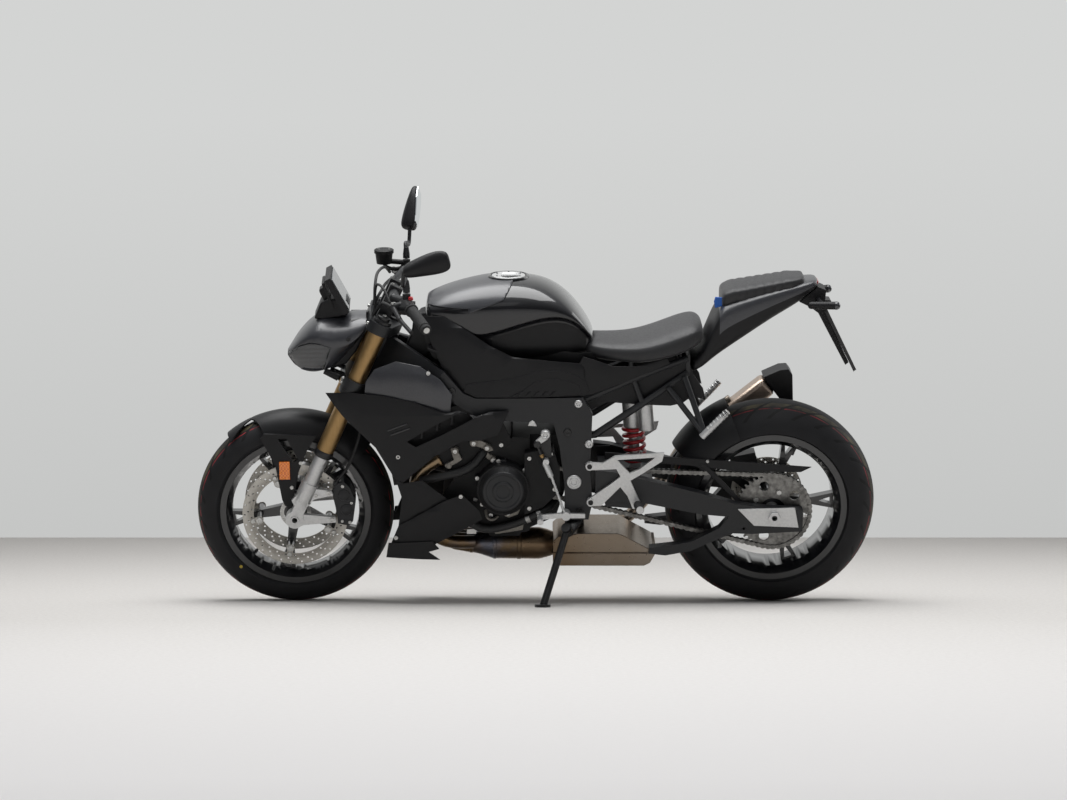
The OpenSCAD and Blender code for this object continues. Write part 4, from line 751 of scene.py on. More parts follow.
ROUNDING = {"front_rim": 2.0, "rear_rim": 2.0, "fork_outer_tubes": 1.0, "fork_lower_legs": 2.5, "fork_yokes": 2.5,
            "front_axle": 1.0, "front_mudguard": 1.2, "front_calipers": 3.0, "handlebar": 1.5, "grips": 2.0,
            "bar_controls": 2.0, "display": 2.5, "front_indicators": 2.0, "main_frame": 3.0, "engine": 3.0,
            "engine_covers": 2.5, "radiator": 1.0, "subframe": 1.0,
            "rear_indicators": 1.0, "plate_carrier": 2.0, "number_plate": 0.6, "swingarm": 3.5, "rear_axle": 1.5,
            "shock_absorber": 2.0, "chain_guard": 1.2, "rear_hugger": 1.0, "peg_hangers": 2.5,
            "foot_controls": 1.5, "pillion_pegs": 1.0, "rear_caliper": 2.5, "stand_bracket": 1.5, "side_stand": 1.5,
            "rear_sprocket": 0.5, "front_reflectors": 1.5, "belly_pan": 1.0, "mirror_glass": 0.0}
# Engine, covers and radiator take the casting black, which holds painted shade.
OWN_FINISH = {"engine": engine_black_and_painted_shade, "engine_covers": engine_black_and_painted_shade, "radiator": engine_black_and_painted_shade}
rounded = {node: softened(node, size, OWN_FINISH.get(node)) for node, size in ROUNDING.items()}
print("rounded", len(rounded), "parts")

# %% [markdown]
# ## Bars, tubes, slabs and screws
# Four more helpers cover most of what is bolted on a motorcycle: a round bar between two points, a tube along a smooth
# path, a flat plate with an outline, and a screw head with its hexagon socket.

# %% Helpers for small parts
def round_bar(bm, start, end, r0, r1=None, sides=20):
    start, end = Vector(start), Vector(end)
    turn = (end - start).to_track_quat("Z", "Y").to_matrix().to_4x4()
    place = Matrix.Translation((start + end) / 2) @ turn
    return bmesh.ops.create_cone(bm, cap_ends=True, segments=sides, radius1=r0, radius2=r0 if r1 is None else r1,
                                 depth=(end - start).length, matrix=place)["verts"]


def curve_through(points, steps):
    points = [Vector(p) for p in points]
    path = []
    for i in range(len(points) - 1):
        a, b, c, d = points[max(i - 1, 0)], points[i], points[i + 1], points[min(i + 2, len(points) - 1)]
        for t in (s / steps for s in range(steps)):
            path.append(b + 0.5 * t * (c - a + t * (2 * a - 5 * b + 4 * c - d + t * (3 * (b - c) + d - a))))
    return path + [points[-1]]


def tube(bm, path, radius, sides=12):
    side, rings = None, []
    for i, spot in enumerate(path):
        ahead = (path[min(i + 1, len(path) - 1)] - path[max(i - 1, 0)]).normalized()
        side = (side - ahead * side.dot(ahead)).normalized() if side else ahead.orthogonal().normalized()
        up = ahead.cross(side)
        r = radius[i] if isinstance(radius, list) else radius
        rings.append([spot + r * (cos(2 * pi * k / sides) * side + sin(2 * pi * k / sides) * up)
                      for k in range(sides)])
    return skin(bm, rings)


def slab(bm, outline, y0, y1):
    face = bm.faces.new([bm.verts.new((x, y0, z)) for x, z in outline])
    grown = bmesh.ops.extrude_face_region(bm, geom=[face])["geom"]
    bmesh.ops.translate(bm, vec=(0, y1 - y0, 0), verts=verts_of(grown))


def screw(bm, spot, axis, r, tall):
    axis = Vector(axis).normalized()
    verts = round_bar(bm, spot, Vector(spot) + tall * axis, r, r * 0.92, 16)
    top = max({f for v in verts for f in v.link_faces}, key=lambda f: f.calc_center_median().dot(axis))
    bmesh.ops.inset_region(bm, faces=[top], thickness=r * 0.42, depth=0)
    bmesh.ops.inset_region(bm, faces=[top], thickness=r * 0.05, depth=-tall * 0.6)


print("small-part helpers ready")

# %% [markdown]
# ## Headlight
# The mask is a blunt wedge that hangs under the bars, with a lamp glass on each side of its keel. One smooth skin
# makes both: it is cut along the lamp's outline with bisecting planes, and the faces inside become the glass. Behind
# the glass sit the lamp's bowls, so that something shines through.

# %% Headlight mask and lamp glass
# Sections: x, heights of the floor, the crease and the crown, half widths at the crease and at the floor.
MASK_SECTIONS = [(500, 870, 886, 914, 84, 58), (524, 846, 862, 914, 97, 64), (557, 808, 842, 912, 109, 70),
                 (603, 768, 837, 911, 115, 78), (640, 754, 848, 907, 108, 74), (670, 750, 848, 888, 92, 64),
                 (700, 755, 832, 857, 66, 48), (722, 770, 811, 826, 40, 30), (737, 786, 797, 803, 14, 10)]
LAMP_OUTLINE = [(739, 796), (722, 812), (700, 831), (668, 846), (637, 847), (605, 835), (628, 757), (704, 754),
                (722, 772)]
KEEL = 16


def mask_ring(x, floor, crease, crown, half, foot, shrink):
    turns = [radians(10 * i) for i in range(10)]
    left = [((half - shrink) * sin(a) ** 0.85, crease + (crown - shrink - crease) * cos(a) ** 0.85) for a in turns]
    for t in (0.1, 0.35, 0.65, 0.9, 1.0):
        left.append((half + (foot - half) * t + 5 * sin(pi * t) - shrink, crease + (floor + shrink - crease) * t))
    left += [(foot * 0.5, floor + shrink), (0, floor + shrink)]
    return [(x, y, z) for y, z in left] + [(x, -y, z) for y, z in reversed(left[1:-1])]


def edge_planes(outline):
    corners = outline + outline[:1]
    return [((x0, 0, z0), (z0 - z1, 0, x1 - x0)) for (x0, z0), (x1, z1) in zip(corners, corners[1:])]


def inside_planes(face, planes):
    middle = face.calc_center_median()
    return all((middle - Vector(p)).dot(Vector(n)) > 0 for p, n in planes)


def mask_skin(shrink):
    heights = curve_through([s[1:4] for s in MASK_SECTIONS], 5)
    widths = curve_through([(s[0], s[4], s[5]) for s in MASK_SECTIONS], 5)
    bm = skin(bmesh.new(), [mask_ring(w.x, *h, w.y, w.z, shrink) for h, w in zip(heights, widths)])
    planes = edge_planes(LAMP_OUTLINE)
    for spot, normal in planes + [((0, KEEL, 0), (0, 1, 0)), ((0, -KEEL, 0), (0, 1, 0))]:
        bmesh.ops.bisect_plane(bm, geom=bm.verts[:] + bm.edges[:] + bm.faces[:], dist=0.05, plane_co=spot,
                               plane_no=normal)
    bmesh.ops.recalc_face_normals(bm, faces=bm.faces)
    return bm, planes


def in_lamp(face, planes):
    return abs(face.calc_center_median().y) > KEEL and inside_planes(face, planes)


def headlight():
    made = []
    for name, glass in (("headlight_shell", False), ("headlight_glass", True)):
        bm, planes = mask_skin(1.2 if glass else 0.0)
        bmesh.ops.delete(bm, geom=[f for f in bm.faces if in_lamp(f, planes) != glass], context="FACES")
        finish, slot = (lamp_glass, "lamp_glass") if glass else (satin_paint, "matt_black_plastic")
        obj = piece(bm, name, ON_BARS, finish, sharp=40)
        wall = obj.modifiers.new("wall", "SOLIDIFY")
        wall.thickness, wall.offset = 0.003, -1
        made.append(obj)
    return made


mask_shell, lamp_cover = headlight()
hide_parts("headlight_mask")
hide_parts("headlight_lens")
print("mask faces:", len(mask_shell.data.polygons), "glass faces:", len(lamp_cover.data.polygons))


# %% Lamp bowls and mask stays
def lamp_bowls():
    bm = bmesh.new()
    for side in (1, -1):
        for x, z, r in ((672, 800, 31), (640, 792, 22)):
            spot = Vector((x, side * (44 if x > 660 else 60), z))
            rim = [spot + Vector((-r * 0.1 * k * k, 0, r * (1 - k * 0.22))) for k in range(4)]
            verts = [bm.verts.new(p) for p in rim]
            edges = [bm.edges.new(pair) for pair in zip(verts, verts[1:])]
            bmesh.ops.spin(bm, geom=verts + edges, cent=spot, axis=(1, 0, 0), angle=2 * pi, steps=24, use_merge=True)
            round_bar(bm, spot - Vector((r * 0.92, 0, 0)), spot - Vector((r * 0.3, 0, 0)), r * 0.35, r * 0.3)
    return piece(bm, "lamp_bowls", ON_BARS, grey_alloy)


def mask_stays():
    bm = bmesh.new()
    for side in (1, -1):
        tube(bm, curve_through([(498, side * 50, 900), (520, side * 52, 902), (545, side * 60, 900)], 5), 7)
        screw(bm, (552, side * 106, 858), (0, side, 0.15), 7, 5)
    return piece(bm, "mask_stays", ON_BARS, black_steel)


lamp_bowls()
mask_stays()
print("lamp bowls and mask stays made")

# %% [markdown]
# ## Mirrors
# Each mirror is a drop-shaped shell on a curved stalk. The shell's rings are round at the back and flat towards the
# glass; a subdivided skin through them gives the moulded drop. The right mirror is set for riding, the left one is
# swung in, so each head gets its own turn and tilt.

# %% Mirror heads and stalks
MIRROR_RINGS = [(0, 0, 14, 12), (8, 1, 19, 15), (18, 2, 23, 17), (60, 6, 30, 15), (100, 8, 35, 11), (130, 8, 32, 8),
                (143, 8, 19, 5)]
MIRROR_TOP = {1: Vector((384, 296, 1107)), -1: Vector((366, 322, 1097))}
MIRROR_TURN = {1: (165, -14), -1: (105, -48)}
PERCH = Vector((377.6, 221.8, 1028.2))


def mirror_place(side):
    yaw, tilt = MIRROR_TURN[side]
    across = Matrix.Scale(side, 4, (0, 1, 0))
    return (across @ Matrix.Translation(MIRROR_TOP[side]) @ Matrix.Rotation(radians(yaw), 4, "Z")
            @ Matrix.Rotation(radians(tilt), 4, "Y") @ Matrix.Scale(-1, 4, (0, 1, 0)))


def mirror_heads():
    bm = bmesh.new()
    for side in (1, -1):
        rings = []
        for x, z, tall, deep in MIRROR_RINGS:
            turns = [2 * pi * k / 16 for k in range(16)]
            # The back is domed and the side towards the glass is flat.
            depths = [deep * (1.9 * sin(a) if sin(a) > 0 else max(3 * sin(a), -1)) for a in turns]
            rings.append([mirror_place(side) @ Vector((x, y, z + tall * cos(a))) for a, y in zip(turns, depths)])
        skin(bm, rings)
    return piece(bm, "mirror_heads", ON_BARS, matt_black_plastic, levels=2)


def mirror_stalks():
    bm = bmesh.new()
    for side in (1, -1):
        flip = Vector((1, side, 1))
        top = MIRROR_TOP[side]
        path = curve_through([PERCH + Vector((0, 0, 8)), PERCH + Vector((2, 14, 44)), top + Vector((4, -14, -44)),
                              top + Vector((0, 3, 4))], 6)
        tube(bm, [p * flip for p in path], 6, 12)
        foot = PERCH * flip
        round_bar(bm, foot + Vector((0, 0, 0.5)), foot + Vector((0, 0, 10)), 12, 12, 6)
        round_bar(bm, foot + Vector((0, 0, 10)), foot + Vector((0, 0, 36)), 11, 7.5, 24)
    return piece(bm, "mirror_stalks", ON_BARS, black_alloy, bevel=0.8)


heads = mirror_heads()
mirror_stalks()
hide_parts("mirrors")
print("mirrors:", len(heads.data.polygons), "faces before smoothing")

# %% [markdown]
# ## Pillion pad
# The small pad on the tail is firm foam with ribs moulded across it, so that a passenger doesn't slide. Its rings
# come in threes, a crest between two valleys, and subdivision turns them into soft ribs.

# %% Pillion pad
def pillion_pad():
    rows = [(-560, 938, 984, 74), (-574, 942, 995, 82), (-600, 952, 1006, 86)]
    for rib in range(6):
        x = -612 - 27 * rib
        top = 1008 + 23 * rib / 5
        half = 86 - 2.2 * rib
        low = 955 + 6.5 * rib
        rows += [(x, low, top - 4.5, half - 2.5), (x - 6, low, top, half), (x - 21, low, top + 1, half)]
    rows += [(-780, 994, 1031, 70), (-800, 998, 1034, 60), (-812, 1002, 1033, 48)]
    rings = [superellipse(half, z0, z1, 0.5, 24, x) for x, z0, z1, half in rows]
    return piece(skin(bmesh.new(), rings), "pillion_pad", ON_BIKE, seat_vinyl, levels=2)


pillion = pillion_pad()
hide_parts("pillion_seat")
print("pillion pad ribs: 6")

# %% [markdown]
# ## Spring and chain
# The shock's spring is a wire on a helix between two seats. The chain is a loop of inner and outer links round both
# sprockets. A waisted plate is made once for each link and set along the loop, so the pitch stays the real one.

# %% Shock spring
def coil_spring():
    bm = bmesh.new()
    low, high = Vector((-313.3, 0, 451)), Vector((-306.2, 0, 556))
    turns, wire, ring = 5.5, 5.5, 31
    side = Vector((1, 0, -0.06)).normalized()
    steps = 132
    path = []
    for i in range(steps + 1):
        t = i / steps
        a = 2 * pi * turns * t
        # The end turns lie close together and flat on their seats.
        rise = min(max((t - 0.09) / 0.82, 0), 1) * 0.93 + 0.035
        path.append(low.lerp(high, rise) + ring * (cos(a) * side + sin(a) * Vector((0, 1, 0))))
    tube(bm, path, wire, 12)
    return piece(bm, "coil_spring", ON_BIKE, red_spring)


spring = coil_spring()
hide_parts("shock_spring")
print("spring faces:", len(spring.data.polygons))


# %% Drive chain
PITCH, CHAIN_Y = 15.875, 112
REAR_PITCH_R, FRONT_PITCH_R = PITCH / 2 / sin(pi / 45), PITCH / 2 / sin(pi / 17)
GEARBOX = Vector((-60, 0, 415))
# Half outline of a link plate: distance along the pitch, and half height.
LINK_WAIST = [(-5.6, 0), (-4, 5.4), (0, 6.9), (4, 6.0), (7.94, 4.3), (11.9, 6.0), (15.9, 6.9), (19.9, 5.4),
              (21.5, 0)]
LINK_OUTLINE = LINK_WAIST + [(s, -h) for s, h in reversed(LINK_WAIST[1:-1])]


def chain_points():
    reach = GEARBOX - REAR_AXLE
    wrap = atan2(sqrt(reach.length ** 2 - (REAR_PITCH_R - FRONT_PITCH_R) ** 2), REAR_PITCH_R - FRONT_PITCH_R)
    tilt = atan2(reach.z, reach.x)
    run = reach.length * sin(wrap)
    arcs = FRONT_PITCH_R * 2 * wrap, REAR_PITCH_R * (2 * pi - 2 * wrap)
    length = 2 * run + sum(arcs)
    links = 2 * round(length / PITCH / 2)

    rear, front = (REAR_AXLE, REAR_PITCH_R), (GEARBOX, FRONT_PITCH_R)

    def on(sprocket, a):
        centre, r = sprocket
        return centre + Vector((r * cos(a), CHAIN_Y, r * sin(a)))
    points = []
    for i in range(links):
        s = i * length / links
        if s < run:
            points.append(on(rear, tilt + wrap).lerp(on(front, tilt + wrap), s / run))
        elif s < run + arcs[0]:
            points.append(on(front, tilt + wrap - (s - run) / FRONT_PITCH_R))
        elif s < 2 * run + arcs[0]:
            points.append(on(front, tilt - wrap).lerp(on(rear, tilt - wrap), (s - run - arcs[0]) / run))
        else:
            points.append(on(rear, tilt - wrap - (s - 2 * run - arcs[0]) / REAR_PITCH_R))
    return points


def chain():
    bm = bmesh.new()
    points = chain_points()
    for i, (a, b) in enumerate(zip(points, points[1:] + points[:1])):
        ahead = (b - a).normalized()
        up = Vector((-ahead.z, 0, ahead.x))
        half = 8.2 if i % 2 else 5.6
        flat = [a + s * ahead + h * up for s, h in LINK_OUTLINE]
        for side in (half, -half - 1.8):
            slab(bm, [(p.x, p.z) for p in flat], CHAIN_Y + side, CHAIN_Y + side + 1.8)
        round_bar(bm, a + Vector((0, -10.6, 0)), a + Vector((0, 10.6, 0)), 2.6, sides=8)
        round_bar(bm, a + Vector((0, -5.4, 0)), a + Vector((0, 5.4, 0)), 4.9, sides=8)
    return piece(bm, "chain_links", ON_BIKE, chain_steel)


links = chain()
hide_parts("drive_chain")
print("chain:", len(chain_points()), "links")

# %% [markdown]
# ## Body panels
# The side panels are thin mouldings that bow outwards in plan and overlap like scales. Each one starts as a flat
# outline, gets an inset rim, is cut into strips so that it can bend, is bowed to its surface, and then gets a wall
# and rounded edges. An air slot is cut with bisecting planes along its convex outline.

# %% Panel helper
PANEL_WALL, STRIP, ROW = 4, 24, 30


def panel(bm, outline, surface, rim=5.0, slot=None, roll=5.0):
    start = set(bm.verts)
    face = bm.faces.new([bm.verts.new((x, 0, z)) for x, z in outline])
    bmesh.ops.inset_region(bm, faces=[face], thickness=rim, depth=0)
    fresh = [v.co.copy() for v in bm.verts if v not in start]

    def cut(spot, normal):
        mine = {v for v in bm.verts if v not in start}
        geom = [g for seq in (bm.verts, bm.edges, bm.faces) for g in seq
                if (g in mine if isinstance(g, bmesh.types.BMVert) else all(v in mine for v in g.verts))]
        bmesh.ops.bisect_plane(bm, geom=geom, dist=0.01, plane_co=spot, plane_no=normal)
    low, high = min(p.x for p in fresh), max(p.x for p in fresh)
    for i in range(1, int((high - low) / STRIP)):
        cut((low + STRIP * i, 0, 0), (1, 0, 0))
    low, high = min(p.z for p in fresh), max(p.z for p in fresh)
    for i in range(1, int((high - low) / ROW)):
        cut((0, 0, low + ROW * i), (0, 0, 1))
    if slot:
        planes = edge_planes(slot)
        for spot, normal in planes:
            cut(spot, normal)
    border = [v for v in bm.verts if v not in start and v.is_boundary]
    if slot:
        hole = [f for f in bm.faces if all(v not in start for v in f.verts) and inside_planes(f, planes)]
        bmesh.ops.delete(bm, geom=hole, context="FACES")
    mine = [v for v in bm.verts if v not in start]
    faces = [f for f in bm.faces if all(v not in start for v in f.verts)]
    for v in mine:
        v.co.y = surface(v.co.x, v.co.z)
    # The inset rim is rolled in, as a moulded edge is, so that the panel's edges catch the light.
    for v in border:
        if v.is_valid:
            v.co.y -= roll
    bmesh.ops.recalc_face_normals(bm, faces=faces)
    if sum(f.normal.y for f in faces) < 0:
        bmesh.ops.reverse_faces(bm, faces=faces)
    bmesh.ops.solidify(bm, geom=faces, thickness=PANEL_WALL)


def both_sides(bm):
    twin = bmesh.ops.duplicate(bm, geom=bm.verts[:] + bm.edges[:] + bm.faces[:])["geom"]
    bmesh.ops.scale(bm, vec=(1, -1, 1), verts=verts_of(twin))


def fairing_y(x):
    return 205 - 900 + sqrt(900 ** 2 - (x - 260) ** 2)


print("fairing half width at its nose:", round(fairing_y(616)))

# %% Side fairings
WING = [(618, 694), (556, 702), (451, 700), (356, 685), (256, 650), (219, 660), (166, 642), (124, 654), (70, 654),
        (103, 582), (156, 567), (209, 566), (294, 517), (386, 436), (412, 448), (468, 540), (568, 631), (592, 660)]
AIR_SLOT = [(373, 564), (300, 610), (225, 650), (190, 652), (175, 636), (278, 582), (347, 548)]
SHOULDER = [(500, 697), (496, 736), (470, 774), (406, 800), (333, 788), (272, 750), (238, 706), (244, 648), (300, 657),
            (456, 692)]
CHEEK = [(410, 445), (386, 430), (330, 442), (254, 384), (264, 368), (404, 286), (391, 384)]
LOWER = [(402, 300), (269, 379), (210, 402), (160, 350), (150, 322), (190, 300), (298, 241), (431, 229)]


def side_fairings():
    bm = bmesh.new()
    panel(bm, WING, lambda x, z: fairing_y(x) - 0.0006 * max(z - 600, 0) ** 2, slot=AIR_SLOT)
    panel(bm, CHEEK, lambda x, z: fairing_y(x) - 9)
    panel(bm, LOWER, lambda x, z: fairing_y(x) - 0.06 * (400 - z) + 6)
    both_sides(bm)
    return piece(bm, "fairing_panels", ON_BIKE, matt_black_plastic, bevel=1.2)


def shoulder_panels():
    bm = bmesh.new()
    panel(bm, SHOULDER, lambda x, z: fairing_y(x) - 14 - 0.0016 * max(z - 690, 0) ** 2)
    both_sides(bm)
    return piece(bm, "shoulder_panels", ON_BIKE, satin_paint, bevel=1.2)


def slot_ducts():
    bm = bmesh.new()
    slab(bm, [(400, 560), (300, 640), (200, 675), (150, 640), (278, 555), (365, 520)], 150, 156)
    for x, z in ((330, 582), (284, 606), (240, 626)):
        slab(bm, [(x - 4, z - 14), (x + 4, z - 14), (x + 2, z + 16), (x - 6, z + 16)], 156, 182)
    both_sides(bm)
    return piece(bm, "slot_ducts", ON_BIKE, matt_black_plastic, bevel=1)


fairings = side_fairings()
shoulder_panels()
slot_ducts()
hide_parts("side_fairings")


def fairing_screws():
    bm = bmesh.new()
    for x, z, lift in ((214, 398, 5), (410, 262, -4), (150, 640, -5), (400, 516, -1), (308, 770, -23)):
        for side in (1, -1):
            screw(bm, (x, side * (fairing_y(x) + lift - 1), z), (0, side, 0), 6.5, 4)
    return piece(bm, "fairing_screws", ON_BIKE, bright_steel)


def fairing_slats():
    bm = bmesh.new()
    for dx, dz in ((0, 0), (-9, -13)):
        start, end = Vector((430 + dx, 0, 596 + dz)), Vector((372 + dx, 0, 620 + dz))
        for side in (1, -1):
            a, b = (Vector((p.x, side * (fairing_y(p.x) + 0.5), p.z)) for p in (start, end))
            round_bar(bm, a, b, 3.2, sides=10)
    return piece(bm, "fairing_slats", ON_BIKE, black_paint)


fairing_screws()
fairing_slats()
print("fairing faces:", len(fairings.data.polygons))

# %% Side panels under the tank
PANEL_OUTLINE = [(322, 930), (300, 850), (270, 781), (206, 705), (170, 689), (-150, 691), (-176, 700), (-150, 790),
                 (-60, 800), (60, 815), (130, 850), (190, 890), (262, 930)]
ARCH = [(204, 707), (198, 731), (120, 742), (50, 753), (-14, 772), (-77, 772), (-130, 757), (-160, 736), (-170, 708),
        (-150, 693), (168, 691)]
INNER_ARCH = [(66, 694), (34, 712), (-8, 740), (-56, 749), (-105, 742), (-138, 728), (-146, 696)]


def panel_y(x):
    return 165 - 1500 + sqrt(1500 ** 2 - (x - 60) ** 2)


def side_panels():
    bm = bmesh.new()
    panel(bm, PANEL_OUTLINE, lambda x, z: panel_y(x) - 0.001 * max(z - 800, 0) ** 2)
    panel(bm, ARCH, lambda x, z: panel_y(x) + 4.5, rim=4, roll=2.5)
    panel(bm, INNER_ARCH, lambda x, z: panel_y(x) + 8, rim=4, roll=2.5)
    for x in (40, 16, -8, -32, -56):
        slab(bm, [(x, 696), (x + 6, 696), (x - 6, 710), (x - 12, 710)], panel_y(x) + 6, panel_y(x) + 9)
    both_sides(bm)
    return piece(bm, "tank_side_panels", ON_BIKE, matt_black_plastic, bevel=1.2)


tank_sides = side_panels()
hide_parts("side_panels")
print("side panel faces:", len(tank_sides.data.polygons))

# %% [markdown]
# ## Tank cover and filler cap
# A thin cover lies over the front of the tank and runs back round the filler cap. It is cut from a copy of the tank's
# own smoothed surface, lifted by a hair and given a wall, so it follows the tank exactly. The cap is a turned disc
# with a raised rim, a hinged key flap and a ring of screws round it.

# %% Tank cover
def under_cover(x, z):
    if x > 189:
        return z < 955
    if x > 86:
        return z < 945 + (181 - x) * 0.37
    return x < 63 + (1015 - z) * 0.66


def tank_cover():
    bm = bmesh.new()
    bm.from_object(tank_shell, bpy.context.evaluated_depsgraph_get())
    bm.transform(PARKED.inverted())
    for spot, normal in (((0, 0, 955), (0, 0, 1)), ((189, 0, 0), (1, 0, 0)), ((181, 0, 945), (0.37, 0, 1)),
                         ((86, 0, 980), (1, 0, 0.66)), ((86, 0, 0), (1, 0, 0))):
        bmesh.ops.bisect_plane(bm, geom=bm.verts[:] + bm.edges[:] + bm.faces[:], dist=0.01, plane_co=spot,
                               plane_no=normal)
    gone = []
    for face in bm.faces:
        middle = face.calc_center_median()
        if under_cover(middle.x, middle.z) or middle.x > 312 or hypot(middle.x - 72, middle.y) < 56:
            gone.append(face)
    bmesh.ops.delete(bm, geom=gone, context="FACES")
    bm.normal_update()
    for v in bm.verts:
        v.co += v.normal * 0.6
    obj = piece(bm, "tank_cover", ON_BIKE, satin_paint)
    wall = obj.modifiers.new("wall", "SOLIDIFY")
    wall.thickness, wall.offset = 0.0032, 1
    return obj


cover = tank_cover()
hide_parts("tank_trim")
print("cover faces:", len(cover.data.polygons))


# %% Filler cap
def turned(bm, profile, spot, axis=(0, 0, 1), steps=48):
    # Profile points are (radius, height) on an axis through spot.
    turn = Vector(axis).to_track_quat("Z", "Y").to_matrix().to_4x4()
    place = Matrix.Translation(spot) @ turn
    verts = [bm.verts.new(place @ Vector((r, 0, h))) for r, h in profile]
    edges = [bm.edges.new(pair) for pair in zip(verts, verts[1:])]
    bmesh.ops.spin(bm, geom=verts + edges, cent=spot, axis=turn.to_3x3() @ Vector((0, 0, 1)), angle=2 * pi, steps=steps,
                   use_merge=True)


CAP = Vector((72, 0, 1008))


def filler_cap():
    bm = bmesh.new()
    turned(bm, [(0, 14), (22, 14), (23, 17), (34, 18), (35, 20), (45, 21), (50, 20), (52, 17), (52, 0.4), (0, 0.4)],
           CAP)
    flap = [(-30, 14), (-30, 22), (16, 22), (20, 18), (20, 14)]
    slab(bm, [(CAP.x + x, CAP.z + z) for x, z in flap], -11, 11)
    return piece(bm, "filler_cap", ON_BIKE, grey_alloy, bevel=0.8)


def filler_ring():
    bm = bmesh.new()
    turned(bm, [(53, 4), (53, 19), (55, 21), (61, 20), (63, 16), (63, 4), (53, 4)], CAP)
    for i in range(6):
        a = radians(60 * i + 30)
        screw(bm, CAP + Vector((40 * cos(a), 40 * sin(a), 20)), (0, 0, 1), 3, 2)
    return piece(bm, "filler_ring", ON_BIKE, black_paint)


cap = filler_cap()
filler_ring()
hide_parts("fuel_cap")


# %% Tank cover screws
def cover_screws():
    bm = bmesh.new()
    for x, y, z in ((113, 133.4, 980.7), (207, 132.1, 957.8)):
        for side in (1, -1):
            screw(bm, (x, side * y, z), (0, side * 0.8, 0.55), 5, 3)
    return piece(bm, "cover_screws", ON_BIKE, bright_steel)


cover_screws()
print("filler cap and cover screws made")

# %% [markdown]
# ## Exhaust
# Four header pipes drop in front of the engine and join under it in a collector, which feeds a flat box. The box is two
# pressed halves, welded along a flange at half height, so it has large corner radii and a thin seam all round.

# %% Headers, collector and box
def headers(bm):
    direction = Vector((135, 0, -83)).normalized()
    for i in range(4):
        y = -120 + 80 * i
        start = Vector((276.5, y, 492.5)) + 0.3 * direction
        path = curve_through([start, start + 12 * direction, (332, y, 452), (354, y, 396), (348, y, 326),
                              (318, y * 0.8, 262), (262, y * 0.5, 212), (180, y * 0.3, 200)], 6)
        tube(bm, path, 20, 16)
        round_bar(bm, start, start + 7 * direction, 29, sides=24)


def collector(bm):
    turned(bm, [(0, 0), (20, 0), (24, 12), (31, 56), (33, 58), (33, 66), (31.5, 68), (37, 92), (48, 126), (49, 129),
                (50.5, 130), (50.5, 138), (49, 140), (49, 202), (50.5, 204), (50.5, 214), (49, 216), (49, 270),
                (44, 292), (37, 312), (36, 324), (0, 324)], (250, 0, 188), (-1, 0, -0.012), 40)


def exhaust_box(bm):
    outline = [(-62, 150), (-80, 143), (-340, 143), (-358, 152), (-373, 180), (-366, 190), (-340, 205), (-272, 242),
               (-256, 246), (-140, 246), (-124, 243), (-78, 236), (-62, 222)]
    slab(bm, outline, -98, 98)
    slab(bm, [(-58, 182), (-378, 182), (-378, 186), (-58, 186)], -103.5, 103.5)


def exhaust():
    bm = bmesh.new()
    headers(bm)
    collector(bm)
    pipes = piece(bm, "exhaust_pipes", ON_BIKE, stainless)
    bm = bmesh.new()
    exhaust_box(bm)
    box = piece(bm, "exhaust_box", ON_BIKE, stainless)
    bevelled(box, 13, segments=4)
    return pipes


pipes = exhaust()
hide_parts("exhaust")
print("exhaust:", len(pipes.data.polygons), "pipe faces")


# %% Exhaust hanger and tail silencer
def exhaust_hanger():
    bm = bmesh.new()
    slab(bm, [(-158, 240), (-130, 240), (-133, 308), (-139, 313.5), (-149, 313.5), (-155, 308)], -8, 8)
    return piece(bm, "exhaust_hanger", ON_BIKE, black_steel, bevel=2)


def silencer():
    bm = bmesh.new()
    path = curve_through([(-252, -106, 195), (-252, -134, 195), (-268, -178, 199), (-310, -204, 214), (-400, -212, 320),
                          (-490, -206, 460), (-590, -192, 566), (-618, -190, 590)], 7)
    tube(bm, path, 19, 20)
    pipe = piece(bm, "tail_pipe", ON_BIKE, stainless)
    bm = bmesh.new()
    slab(bm, [(-592, 572), (-713, 670), (-752, 620), (-640, 530), (-606, 544)], -230, -150)
    can = piece(bm, "silencer_can", ON_BIKE, brushed_titanium)
    bm = bmesh.new()
    slab(bm, [(-711, 673), (-764, 697), (-789, 699), (-802, 681), (-806, 594), (-768, 598), (-753, 618)], -232, -148)
    bmesh.ops.recalc_face_normals(bm, faces=bm.faces)
    end = min(bm.faces, key=lambda f: f.calc_center_median().x)
    bmesh.ops.inset_region(bm, faces=[end], thickness=9, depth=0)
    bmesh.ops.inset_region(bm, faces=[end], thickness=1, depth=-24)
    cap = piece(bm, "silencer_cap", ON_BIKE, matt_black_plastic)
    bevelled(can, 16, segments=3)
    bevelled(cap, 9, segments=3)
    return pipe


exhaust_hanger()
tail_pipe = silencer()
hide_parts("tail_silencer")
print("silencer: pipe, can and end cap")


# %% [markdown]
# ## Small colours
# A few small parts have finishes of their own: the display's cover glass, the red rear lamp, black hose rubber, a blue
# webbing loop and the paint that marks a tyre's light spot.

